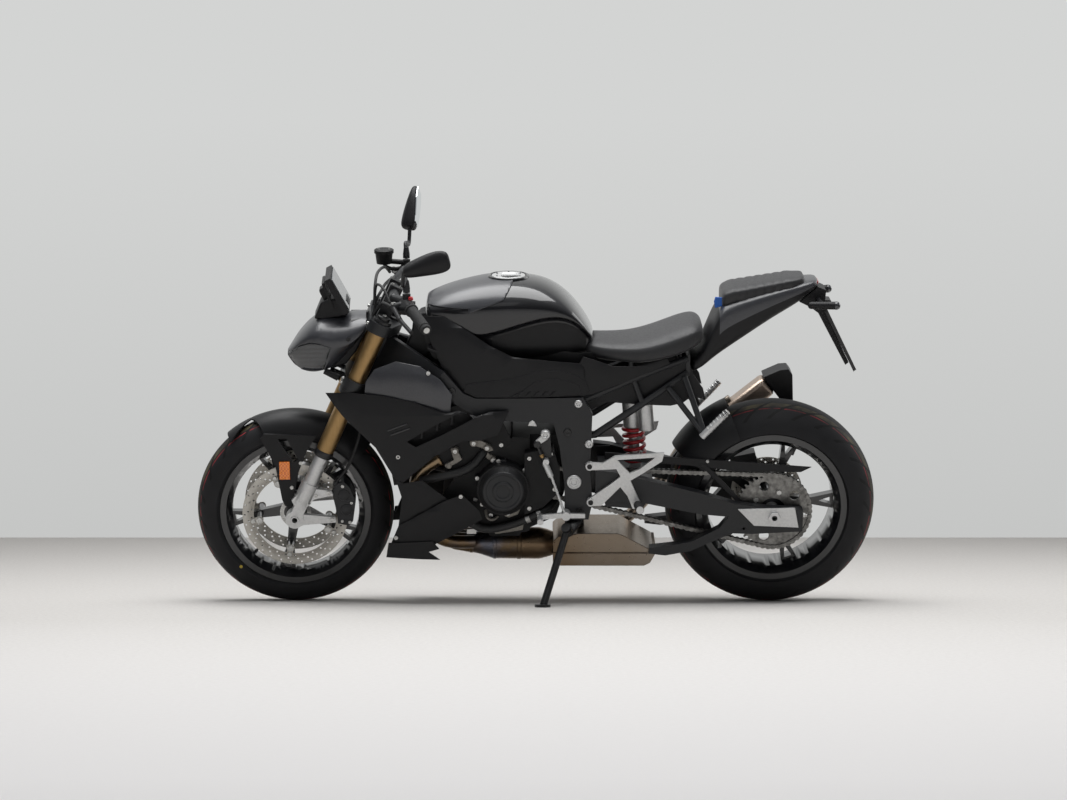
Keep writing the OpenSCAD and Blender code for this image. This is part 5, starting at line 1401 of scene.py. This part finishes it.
# %% Cover glass, red lamp, hose rubber and marks
FINE_SKIN = (0.08, 0.0004)
cover_glass = speckled("display_cover_glass", "#4a4e50", "#5c6062", 120, relief=FINE_SKIN, Roughness=0.15,
                       Coat_Weight=0.5)
red_lamp = speckled("red_lamp_polycarbonate", "#6d0a10", "#a3141c", 8, relief=FINE_SKIN, Roughness=0.1, Coat_Weight=1.0)
hose_rubber = speckled("black_hose_rubber", "#101011", "#1b1b1c", 9, relief=FINE_SKIN, Roughness=0.55)
blue_webbing = speckled("blue_nylon_webbing", "#1c4f9c", "#2c69c4", 3, relief=FINE_SKIN, Roughness=0.7)
yellow_mark = speckled("yellow_marking_paint", "#a08a26", "#c2aa3a", 3, relief=FINE_SKIN, Roughness=0.6)
red_switch = speckled("red_switch_plastic", "#a81820", "#c8252c", 4, relief=FINE_SKIN, Roughness=0.35)
print("made", cover_glass.name, red_lamp.name, hose_rubber.name, blue_webbing.name)

# %% [markdown]
# ## Fork and front brake
# Fork tubes end in black caps and carry a rubber dust seal at the bottom. The brake discs float: each is held on its
# carrier by bobbins, which we turn on a lathe profile and set round the wheel. The hoses run from the calipers up
# behind the legs to a joint under the lower yoke, so they turn with the fork.

# %% Fork caps, seals and clamp screws
LEG_Y = 105


def fork_caps():
    bm = bmesh.new()
    for side in (1, -1):
        spot = Vector((0, side * LEG_Y, 0))
        turned(bm, [(0, 688), (8, 688), (9, 686), (18, 686), (20, 684), (20, 676), (27.4, 676), (28.6, 674),
                    (28.6, 666.3), (0, 666.3)], spot)
        turned(bm, [(22, 213), (26.5, 213), (28.4, 216), (28.4, 231), (27.2, 234), (22, 234), (22, 213)], spot)
        turned(bm, [(27.1, 424), (36, 424), (38, 428), (38, 440), (27.1, 440), (27.1, 424)], spot)
    return piece(bm, "fork_caps", ON_FORK, black_steel)


def yoke_screws():
    bm = bmesh.new()
    for side in (1, -1):
        for z in (449, 465, 649):
            screw(bm, (36.6, side * LEG_Y, z), (1, 0, 0), 5, 5)
        screw(bm, (0, side * LEG_Y, 688), (0, 0, 1), 6, 3)
        for dx in (-13, 13):
            screw(bm, (-2.5 + dx, side * 40, 770.4), (0, 0, 1), 5, 5)
    return piece(bm, "yoke_screws", ON_FORK, bright_steel)


fork_caps()
yoke_screws()
print("fork dressed")


# %% Disc bobbins, sensor ring and wheel marks
def disc_bobbins():
    bm = bmesh.new()
    for side in (1, -1):
        for i in range(5):
            a = radians(135 + 72 * i)
            for r, big in ((110, 1.0), (130, 0.72)):
                spot = (r * cos(a), side * 72.2, r * sin(a))
                turned(bm, [(0, 3), (4 * big, 3), (4.6 * big, 4), (8 * big, 4), (10 * big, 2.6), (10 * big, 0)], spot,
                       (0, side, 0), 24)
    return piece(bm, "disc_bobbins", ON_FRONT_WHEEL, bright_steel)


def sensor_ring():
    bm = bmesh.new()
    turned(bm, [(35, 52.2), (47, 52.2), (47, 54), (35, 54), (35, 52.2)], (0, 0, 0), (0, 1, 0), 72)
    for i in range(40):
        a = 2 * pi * i / 40
        ahead = Vector((cos(a), 0, sin(a)))
        round_bar(bm, 38 * ahead + Vector((0, 54.2, 0)), 45.5 * ahead + Vector((0, 54.2, 0)), 1.5, sides=6)
    return piece(bm, "sensor_ring", ON_FRONT_WHEEL, bright_steel)


def valve_stem(name, rides, angle, from_r):
    bm = bmesh.new()
    ahead = Vector((cos(angle), 0, sin(angle)))
    round_bar(bm, from_r * ahead, (from_r - 12) * ahead, 5.5, 4.5)
    round_bar(bm, (from_r - 12) * ahead, (from_r - 30) * ahead, 3.6)
    round_bar(bm, (from_r - 30) * ahead, (from_r - 38) * ahead, 4.6, 4.2)
    return piece(bm, name, rides, black_steel)


def light_spot(name, rides, angle, r, y):
    bm = bmesh.new()
    turned(bm, [(0, 0.5), (4.4, 0.5), (5, 0), (5, -0.8), (0, -0.8)], (r * cos(angle), y, r * sin(angle)), (0, 1, 0), 20)
    return piece(bm, name, rides, yellow_mark)


disc_bobbins()
sensor_ring()
valve_stem("front_valve", ON_FRONT_WHEEL, radians(-48), 196)
valve_stem("rear_valve", ON_REAR_WHEEL, radians(115), 196)
light_spot("front_light_spot", ON_FRONT_WHEEL, radians(-45), 241, 60)
light_spot("rear_light_spot", ON_REAR_WHEEL, radians(51), 243, 93.4)
print("wheels dressed")


# %% Calipers, hoses and mudguard screws
def at_axle(x, y, z):
    return FRONT_AXLE + Vector((x, y, z))


def caliper_pots():
    bm = bmesh.new()
    for side in (1, -1):
        for x, z in ((-150, 70), (-157, 24)):
            turned(bm, [(0, 3.4), (12, 3.4), (15, 1.6), (17, 1.6), (18, 0), (18, -1), (0, -1)],
                   at_axle(x, side * 106, z), (0, side, 0), 32)
    return piece(bm, "caliper_pots", ON_BARS, black_alloy)


def caliper_screws():
    bm = bmesh.new()
    for side in (1, -1):
        for x, z, y, r in ((-146, 99, 106, 5), (-172, 46, 106, 4.5), (-166, -16, 106, 5), (-143, -12, 106, 4.5),
                           (-104, 81, 119, 8), (-112, -4, 119, 8), (-66, 74, 119, 6)):
            screw(bm, at_axle(x, side * (y - 0.5), z), (0, side, 0), r, 5)
        screw(bm, (704, side * 82.6, 468), (0, side, 0), 6, 3.5)
        screw(bm, (733, side * 82.6, 391), (0, side, 0), 6, 3.5)
        round_bar(bm, at_axle(-138, side * 84, 108), at_axle(-134, side * 84, 122), 4, 3)
    return piece(bm, "caliper_screws", ON_BARS, bright_steel)


def brake_hoses():
    bm = bmesh.new()
    for side in (1, -1):
        path = [(597, 96, 408), (588, 97, 424), (566, 96, 452), (545, 92, 496), (526, 82, 552), (514, 62, 618),
                (508, 32, 664), (508, 14, 686)]
        tube(bm, curve_through([(x, side * y, z) for x, y, z in path], 5), 4.6, 10)
        round_bar(bm, (600, side * 88, 405), (600, side * 104, 405), 8)
    return piece(bm, "brake_hoses", ON_BARS, hose_rubber)


caliper_pots()
caliper_screws()
brake_hoses()
print("front brake dressed")

# %% [markdown]
# ## Cockpit
# The bars carry a lot of small things: cables that bow out in front of the bars and dive between the fork tubes, a key
# barrel, switches, a reservoir lid and the display. The display's cover glass looks back and up at the rider; its
# bracket stands on the mask.

# %% Cables and key barrel
def bar_cables():
    bm = bmesh.new()
    routes = [(4.0, [(12, 196, 752), (42, 165, 776), (60, 120, 770), (52, 84, 735), (33, 64, 690), (27, 62, 640),
                     (8, 54, 580), (-16, 42, 520), (-20, 38, 476)]),
              (4.6, [(12, -196, 750), (36, -170, 764), (52, -128, 748), (46, -88, 716), (31, -66, 676), (26, -63, 636),
                     (6, -54, 574), (-14, -42, 512), (-18, -38, 476)]),
              (5.2, [(0, 178, 738), (14, 130, 728), (20, 88, 716), (26, 72, 690), (26, 68, 648), (12, 60, 600),
                     (-6, 50, 548), (-14, 46, 476)]),
              (4.6, [(2, -178, 738), (16, -130, 726), (22, -92, 712), (27, -74, 684), (26, -70, 646), (10, -62, 596),
                     (-8, -50, 540), (-14, -48, 476)])]
    for r, path in routes:
        tube(bm, curve_through(path, 6), r, 10)
    return piece(bm, "bar_cables", ON_FORK, hose_rubber)


def key_barrel():
    bm = bmesh.new()
    turned(bm, [(0, 690), (15, 690), (17, 688), (17, 676), (21, 673), (21, 666.2), (0, 666.2)], Vector((-36, 0, 0)))
    slab(bm, [(-39, 690), (-33, 690), (-33, 691.5), (-39, 691.5)], -9, 9)
    return piece(bm, "key_barrel", ON_FORK, black_steel, bevel=0.6)


bar_cables()
key_barrel()
print("cables and key barrel made")

# %% Switches, reservoir lid and bar ends
GRIP_IN, BAR_END = Vector((386, 196, 999)), Vector((326, 380, 961))


def along_bar(t):
    return GRIP_IN.lerp(BAR_END, t)


def switch_buttons():
    bm = bmesh.new()
    for side in (1, -1):
        for t, dx, dz in ((0.13, -19, 2), (0.20, -18, 8), (0.27, -18, -3)):
            spot = along_bar(t) + Vector((dx, 0, dz))
            spot.y *= side
            round_bar(bm, spot + Vector((6, 0, 0)), spot + Vector((-4, 0, 0)), 6, 5, 12)
    return piece(bm, "switch_buttons", ON_BARS, grip_rubber, bevel=1)


def hazard_switch():
    bm = bmesh.new()
    spot = along_bar(0.2) + Vector((-8, 0, 17))
    slab(bm, [(spot.x - 8, spot.z), (spot.x + 7, spot.z), (spot.x + 5, spot.z + 9), (spot.x - 6, spot.z + 9)],
         spot.y - 6, spot.y + 6)
    return piece(bm, "hazard_switch", ON_BARS, red_switch, bevel=1.2)


def reservoir_lid():
    bm = bmesh.new()
    top = Vector((446, -212, 1055))
    turned(bm, [(0, 3), (24, 3), (25, 4), (28, 4), (30, 2.5), (30, -7), (28.4, -8), (0, -8)], top, steps=40)
    tube(bm, curve_through([(446, -212, 1016), (440, -214, 1004), (424, -214, 997), (408, -210, 996)], 5), 6, 12)
    return piece(bm, "reservoir_lid", ON_BARS, matt_black_plastic)


def bar_fittings():
    bm = bmesh.new()
    for dx in (-17, 17):
        screw(bm, (446 + dx, -212, 1058.5), (0, 0, 1), 4, 2)
    ahead = (BAR_END - GRIP_IN).normalized()
    for side in (1, -1):
        flip = Vector((1, side, 1))
        spot, axis = along_bar(1.08) * flip, ahead * flip
        round_bar(bm, spot - 2 * axis, spot + 0.4 * axis, 9)
        pivot = (along_bar(0.18) + Vector((42, 0, 4))) * flip
        screw(bm, pivot, (0, 0, 1), 6, 4)
        inner, outer = along_bar(0.1) + Vector((34, -4, -4)), along_bar(0.16) + Vector((36, 0, -4))
        round_bar(bm, inner * flip, outer * flip, 6.5)
    return piece(bm, "bar_fittings", ON_BARS, bright_steel)


switch_buttons()
hazard_switch()
reservoir_lid()
bar_fittings()
print("switches and fittings made")

# %% Display glass and bracket
FACE = (Matrix.Translation((583.7, 0, 984.5)) @ Matrix.Rotation(radians(-62), 4, "Y"))


def display_glass():
    bm = bmesh.new()
    face = bm.faces.new([bm.verts.new((x, y, 9.1)) for x, y in ((-52, -80), (52, -80), (52, 80), (-52, 80))])
    grown = bmesh.ops.extrude_face_region(bm, geom=[face])["geom"]
    bmesh.ops.translate(bm, vec=(0, 0, 3), verts=verts_of(grown))
    bm.transform(FACE)
    return piece(bm, "display_glass", ON_BARS, cover_glass, bevel=1.2)


def display_bracket():
    bm = bmesh.new()
    slab(bm, [(640, 988), (623, 1001), (612, 975), (598, 940), (604, 900), (627, 902), (618, 940)], -24, 24)
    slab(bm, [(655, 906), (634, 956), (606, 968), (556, 962), (548, 944), (556, 914), (624, 903)], -43, 43)
    return piece(bm, "display_bracket", ON_BARS, matt_black_plastic, bevel=5)


display_glass()
display_bracket()
print("display dressed")

# %% [markdown]
# ## Lamp strips and carriers
# Behind the mask a black carrier bolts the headlight to the yokes, and a moulded cover closes the space between the
# steering head and the tank. Both are plain plates with an outline, kept narrow so that the yokes pass them at full
# lock.

# %% Lamp carrier, head cover and light strips
light_diffuser = speckled("milky_lamp_diffuser", "#b9bcbe", "#d6d8d9", 6, relief=FINE_SKIN, Roughness=0.3)


def lamp_carrier():
    bm = bmesh.new()
    slab(bm, [(606, 830), (628, 762), (600, 756), (560, 772), (530, 810), (502, 866), (522, 868), (557, 846)], -60, 60)
    return piece(bm, "lamp_carrier", ON_BARS, matt_black_plastic, bevel=4)


def head_cover():
    bm = bmesh.new()
    slab(bm, [(362, 862), (358, 896), (336, 918), (300, 930), (296, 800), (330, 788), (384, 806), (368, 846)], -44, 44)
    return piece(bm, "head_cover", ON_BIKE, matt_black_plastic, bevel=5)


def light_strips():
    bm = bmesh.new()
    for side in (1, -1):
        path = [(690, side * 52, 768), (648, side * 70, 764), (628, side * 78, 772), (616, side * 88, 800)]
        tube(bm, curve_through(path, 6), 2.4, 10)
    return piece(bm, "light_strips", ON_BARS, light_diffuser)


lamp_carrier()
head_cover()
light_strips()
print("headlight closed from behind")

# %% [markdown]
# ## Engine
# Castings show what they are by their ribs, their screws and their hoses. The round covers get a screw in each boss
# and a stepped disc, as a lathe leaves it; raw aluminium lugs stand between the painted castings; a coolant hose runs
# below.

# %% Engine castings
raw_casting = speckled("raw_cast_aluminium", "#5b5853", "#8e8a83", 6, relief=FINE_SKIN, Metallic=0.6, Roughness=0.45)
LUGS = [([(188, 552), (160, 557), (128, 541), (116, 524), (132, 518), (150, 530), (184, 540)], 147),
        ([(152, 528), (134, 514), (112, 500), (104, 488), (116, 482), (136, 496), (154, 514)], 142),
        ([(246, 530), (230, 532), (210, 496), (226, 484), (260, 468), (264, 479), (236, 494)], 150),
        ([(66, 332), (48, 354), (34, 346), (44, 322), (72, 312), (86, 318)], 148),
        ([(120, 272), (26, 293), (30, 270), (112, 257)], 138)]


def engine_lugs():
    bm = bmesh.new()
    for outline, out in LUGS:
        slab(bm, outline, 129, out)
    for x, z, r in ((176, 547, 13), (136, 532, 11), (118, 494, 10), (232, 522, 12), (250, 475, 9)):
        round_bar(bm, (x, 129, z), (x, 152, z), r, r * 0.9, 16)
    tube(bm, curve_through([(142, 134, 334), (136, 145, 313), (120, 147, 306), (104, 137, 314)], 6), 5, 10)
    return piece(bm, "engine_lugs", ON_BIKE, raw_casting, bevel=2)


def cover_steps():
    bm = bmesh.new()
    turned(bm, [(0, 2.5), (19, 2.5), (21, 4.5), (30, 4.5), (32, 1.5), (50, 1.5), (52, 4), (59, 4), (62, -0.5)],
           (88, 204.8, 412), (0, 1, 0), 64)
    turned(bm, [(0, 2), (40, 2), (43, 5), (56, 5), (59, 2), (72, 2), (75, -0.5)], (20, -199.8, 405), (0, -1, 0), 64)
    turned(bm, [(0, 4), (14, 4), (16, 2), (30, 2), (33, -0.5)], (180, -185.8, 380), (0, -1, 0), 48)
    slab(bm, [(124, 470), (76, 470), (80, 496), (116, 496)], 132, 158)
    return piece(bm, "cover_steps", ON_BIKE, black_alloy, bevel=1.5)


def engine_screws():
    bm = bmesh.new()
    for x, z, circle, side in ((88, 412, 83, 1), (20, 405, 97, -1), (180, 380, 51, -1)):
        for turn in (20, 80, 140, 260, 320):
            a = radians(turn)
            screw(bm, (x + circle * cos(a), side * 157.6, z + circle * sin(a)), (0, side, 0), 6.5, 5)
    for x, y, z in ((94, 133.5, 537), (136, 151.5, 532), (176, 151.5, 547), (173, 131.5, 366), (126, 131.5, 316),
                    (232, 151.5, 522), (118, 151.5, 494), (-54, 171.5, 520), (10, 171.5, 506), (-66, 171.5, 410),
                    (10, 171.5, 350), (96, 157.5, 484)):
        screw(bm, (x, y, z), (0, 1, 0), 6.5, 5)
    return piece(bm, "engine_screws", ON_BIKE, bright_steel)


engine_lugs()
cover_steps()
engine_screws()
print("engine castings:", len(LUGS), "lugs")


# %% Hoses and clamps
def coolant_hoses():
    bm = bmesh.new()
    routes = [(12, [(206, 150, 304), (180, 152, 294), (156, 152, 281), (118, 152, 279), (62, 154, 293), (14, 160, 314),
                    (-18, 158, 330), (-48, 140, 342), (-64, 100, 350), (-66, 80, 352)]),
              (13, [(336, 146, 428), (283, 152, 442), (222, 152, 455), (180, 148, 476), (152, 142, 508),
                    (142, 126, 520)]),
              (16, [(404, -150, 452), (380, -158, 420), (320, -160, 392), (262, -158, 380), (216, -160, 380)])]
    for r, path in routes:
        tube(bm, curve_through(path, 6), r, 16)
    return piece(bm, "coolant_hoses", ON_BIKE, hose_rubber)


def hose_clamps():
    bm = bmesh.new()
    for a, b, r in (((20, 159.4, 311.5), (8, 160, 316.5), 13.4), ((-12, 159, 327), (-23, 156, 332), 13.4),
                    ((270, -158, 381), (260, -158, 380), 17.4), ((390, -155, 434), (382, -157.5, 423), 17.4)):
        round_bar(bm, a, b, r, sides=24)
        middle = (Vector(a) + Vector(b)) / 2 + Vector((0, r if a[1] > 0 else -r, 2))
        round_bar(bm, middle + Vector((0, 0, -5)), middle + Vector((0, 0, 5)), 3.4, sides=10)
    slab(bm, [(198, 277), (170, 279), (170, 263), (198, 262)], 148, 152)
    return piece(bm, "hose_clamps", ON_BIKE, bright_steel, bevel=0.6)


coolant_hoses()
hose_clamps()
print("hoses and clamps made")

# %% [markdown]
# ## Gear linkage and frame fasteners
# A thin rod runs from the gear lever up to the gearbox. Its silver sensor tells the engine when the rider shifts. The
# frame shows the ends of the bolts that carry the engine, the subframe and the swingarm's pivot.

# %% Gear linkage
def gear_sensor():
    bm = bmesh.new()
    turned(bm, [(0, 0), (5, 0), (6, 4), (9, 6), (9, 52), (7, 55), (0, 55)], (-57, 197, 452), (0.4, 0, 0.917), 24)
    slab(bm, [(-8, 566), (-16, 552), (-46, 572), (-50, 588), (-40, 600), (-27, 594), (-24, 580)], 188, 197)
    turned(bm, [(0, 4), (6, 4), (7, 7), (11, 7), (14, 4), (14, -14), (0, -14)], (-38, 196, 586), (0, 1, 0), 32)
    return piece(bm, "gear_sensor", ON_BIKE, grey_alloy, bevel=1.2)


def gear_linkage():
    bm = bmesh.new()
    round_bar(bm, (-34, 197, 505), (-15, 197, 550), 4.5)
    turned(bm, [(0, 6), (9, 6), (11, 4), (11, -8), (0, -8)], (-14, 197, 556), (0, 1, 0), 24)
    slab(bm, [(-58, 512), (-24, 506), (-24, 580), (-38, 602), (-52, 590)], 172.2, 181.5)
    for x, z in ((-170, 484), (-174, 372)):
        for side in (1, -1):
            screw(bm, (x, side * 186.8, z), (0, side, 0), 8, 4)
    return piece(bm, "gear_linkage", ON_BIKE, black_steel, bevel=1)


def linkage_nut():
    bm = bmesh.new()
    round_bar(bm, (-29.5, 197, 516), (-25.5, 197, 525), 7.5, sides=6)
    return piece(bm, "linkage_nut", ON_BIKE, gold_anodised, bevel=0.8)


gear_sensor()
gear_linkage()
linkage_nut()
print("gear linkage made")


# %% Frame fasteners
def frame_fasteners():
    bm = bmesh.new()
    for side in (1, -1):
        turned(bm, [(0, 2), (8, 2), (9, 6), (14, 6), (15, 4), (20, 4), (22, 2), (22, -0.5)], (-124, side * 165, 430),
               (0, side, 0), 40)
        for x, z in ((-136, 673), (-168, 548)):
            turned(bm, [(0, 3), (5, 3), (6, 7), (10, 7), (12, 4), (12, -0.5)], (x, side * 165, z), (0, side, 0), 28)
    slab(bm, [(-13, 603), (14, 605), (8, 618), (0, 622), (-6, 618)], 158, 166.5)
    return piece(bm, "frame_fasteners", ON_BIKE, grey_alloy, bevel=0.8)


def frame_plugs():
    bm = bmesh.new()
    for side in (1, -1):
        for x, z, r in ((-104, 585, 10), (238, 712, 9), (-140, 340, 8)):
            profile = [(0, 1), (r * 0.5, 1), (r * 0.6, 4), (r, 4), (r * 1.15, 1.5), (r * 1.15, -0.5)]
            turned(bm, profile, (x, side * 165, z), (0, side, 0), 28)
    return piece(bm, "frame_plugs", ON_BIKE, black_steel)


frame_fasteners()
frame_plugs()
print("linkage and frame fasteners made")

# %% [markdown]
# ## Rear wheel and tail
# The sprocket and the disc are bolted to the rear wheel, the chain is set with an adjuster at each end of the arm, and
# the tail carries its lamp, the indicator glasses, the plate lamp and a blue pull loop for the seat.

# %% Sprocket nuts, disc bolts and adjusters
def wheel_bolts():
    bm = bmesh.new()
    for i in range(5):
        a = radians(179 + 72 * i)
        spot = Vector((62 * cos(a), 0, 62 * sin(a)))
        round_bar(bm, spot + Vector((0, 115.2, 0)), spot + Vector((0, 122, 0)), 8.5, 8, 6)
        screw(bm, spot + Vector((0, -94.2, 0)), (0, -1, 0), 7, 4)
    return piece(bm, "rear_wheel_bolts", ON_REAR_WHEEL, bright_steel, bevel=0.6)


def chain_adjusters():
    bm = bmesh.new()
    for side in (1, -1):
        round_bar(bm, (-800, side * 151, 322), (-826, side * 151, 320.6), 4.5)
        round_bar(bm, (-813, side * 151, 321.4), (-820, side * 151, 321), 8.5, sides=6)
    for x, z in ((-675, 430), (-630, 422)):
        screw(bm, (x, -119.6, z), (0, -1, 0), 6, 5)
    screw(bm, (-525, 129.6, 484), (0, 1, 0), 5, 3)
    return piece(bm, "chain_adjusters", ON_BIKE, bright_steel, bevel=0.6)


wheel_bolts()
chain_adjusters()
print("rear wheel bolts and chain adjusters made")


# %% Tail lamp, indicator glasses and plate fittings
def tail_lamp():
    bm = bmesh.new()
    skin(bm, [superellipse(36, 1004, 1017, 0.5, 20, -842), superellipse(33, 1005, 1016, 0.5, 20, -852),
              superellipse(29, 1007, 1014.5, 0.5, 20, -854)])
    return piece(bm, "tail_lamp", ON_BIKE, red_lamp)


def indicator_glasses():
    bm = bmesh.new()
    for side in (1, -1):
        turned(bm, [(12.5, -2), (12.6, 1), (11.6, 6), (8.6, 10.2), (4, 12.2), (0, 12.7)], (-898, side * 116, 960),
               (-1, side * 0.17, 0.03), 32)
    return piece(bm, "indicator_glasses", ON_BIKE, lamp_glass)


PLATE = Matrix.Translation((-910, 0, 846)) @ Matrix.Rotation(radians(26.5), 4, "Y")


def plate_fittings():
    bm = bmesh.new()
    for y in (-60, 60):
        screw(bm, PLATE @ Vector((-8.8, y, 70)), PLATE.to_3x3() @ Vector((-1, 0, 0)), 5, 3)
    slab(bm, [(-866, 938), (-890, 933), (-896, 948), (-892, 956), (-868, 958)], -26, 26)
    return piece(bm, "plate_fittings", ON_BIKE, black_steel, bevel=1.5)


def pull_loop():
    bm = bmesh.new()
    slab(bm, [(-540, 960), (-544, 974), (-566, 972), (-566, 946), (-544, 940)], 58, 62)
    return piece(bm, "pull_loop", ON_BIKE, blue_webbing, bevel=1.2)


def peg_rubbers():
    bm = bmesh.new()
    for side in (1, -1):
        a, b = Vector((-314.6, side * 196, 368)), Vector((-317.7, side * 270, 375.3))
        for i in range(9):
            spot = a.lerp(b, i / 8)
            ahead = (b - a).normalized()
            turned(bm, [(11, -2.6), (12.6, -1.6), (12.6, 1.6), (11, 2.6)], spot, ahead, 24)
    return piece(bm, "peg_rubbers", ON_BIKE, grip_rubber)


def plate_frame():
    bm = bmesh.new()
    for z0, z1 in ((96, 104), (-104, -96)):
        slab(bm, [(-12, z0), (-12, z1), (-2, z1), (-2, z0)], -96, 96)
    for y in (-96, 88):
        slab(bm, [(-12, -104), (-12, 104), (-2, 104), (-2, -104)], y, y + 8)
    bm.transform(PLATE)
    return piece(bm, "plate_frame", ON_BIKE, black_steel, bevel=1.5)


def peg_ends():
    bm = bmesh.new()
    for side in (1, -1):
        a, b = Vector((-503, side * 176, 573)), Vector((-579, side * 180, 653))
        round_bar(bm, a, b, 11, 10.2, 12)
        for i in range(6):
            spot = a.lerp(b, 0.3 + 0.12 * i)
            turned(bm, [(9, -2), (12, -1.4), (12, 1.4), (9, 2)], spot, b - a, 16)
    return piece(bm, "pillion_peg_ends", ON_BIKE, grey_alloy, bevel=1)


def under_seat():
    bm = bmesh.new()
    slab(bm, [(-118, 672), (-172, 664), (-317, 652), (-413, 648), (-449, 656), (-477, 677), (-518, 667), (-510, 702),
              (-480, 745), (-463, 800), (-320, 756), (-190, 704)], 92, 97)
    panel(bm, [(-138, 790), (-150, 812), (-186, 800), (-240, 780), (-310, 778), (-400, 800), (-410, 784), (-273, 730),
               (-178, 696), (-146, 690)], lambda x, z: 149 + (x + 150) * 0.1, rim=4, roll=3)
    # The airbox's walls and shelves close the space between the tank and the side panels.
    slab(bm, [(330, 880), (150, 850), (-130, 812), (-190, 812), (-190, 760), (-150, 700), (150, 700), (300, 800)], 92,
         97)
    slab(bm, [(310, 838), (200, 800), (100, 778), (-130, 776), (-130, 770), (100, 772), (200, 794), (310, 832)],
         96, 146)
    both_sides(bm)
    return piece(bm, "under_seat_covers", ON_BIKE, matt_black_plastic, bevel=1.2)


plate_frame()
peg_ends()
under_seat()
tail_lamp()
indicator_glasses()
plate_fittings()
pull_loop()
peg_rubbers()
print("tail dressed")
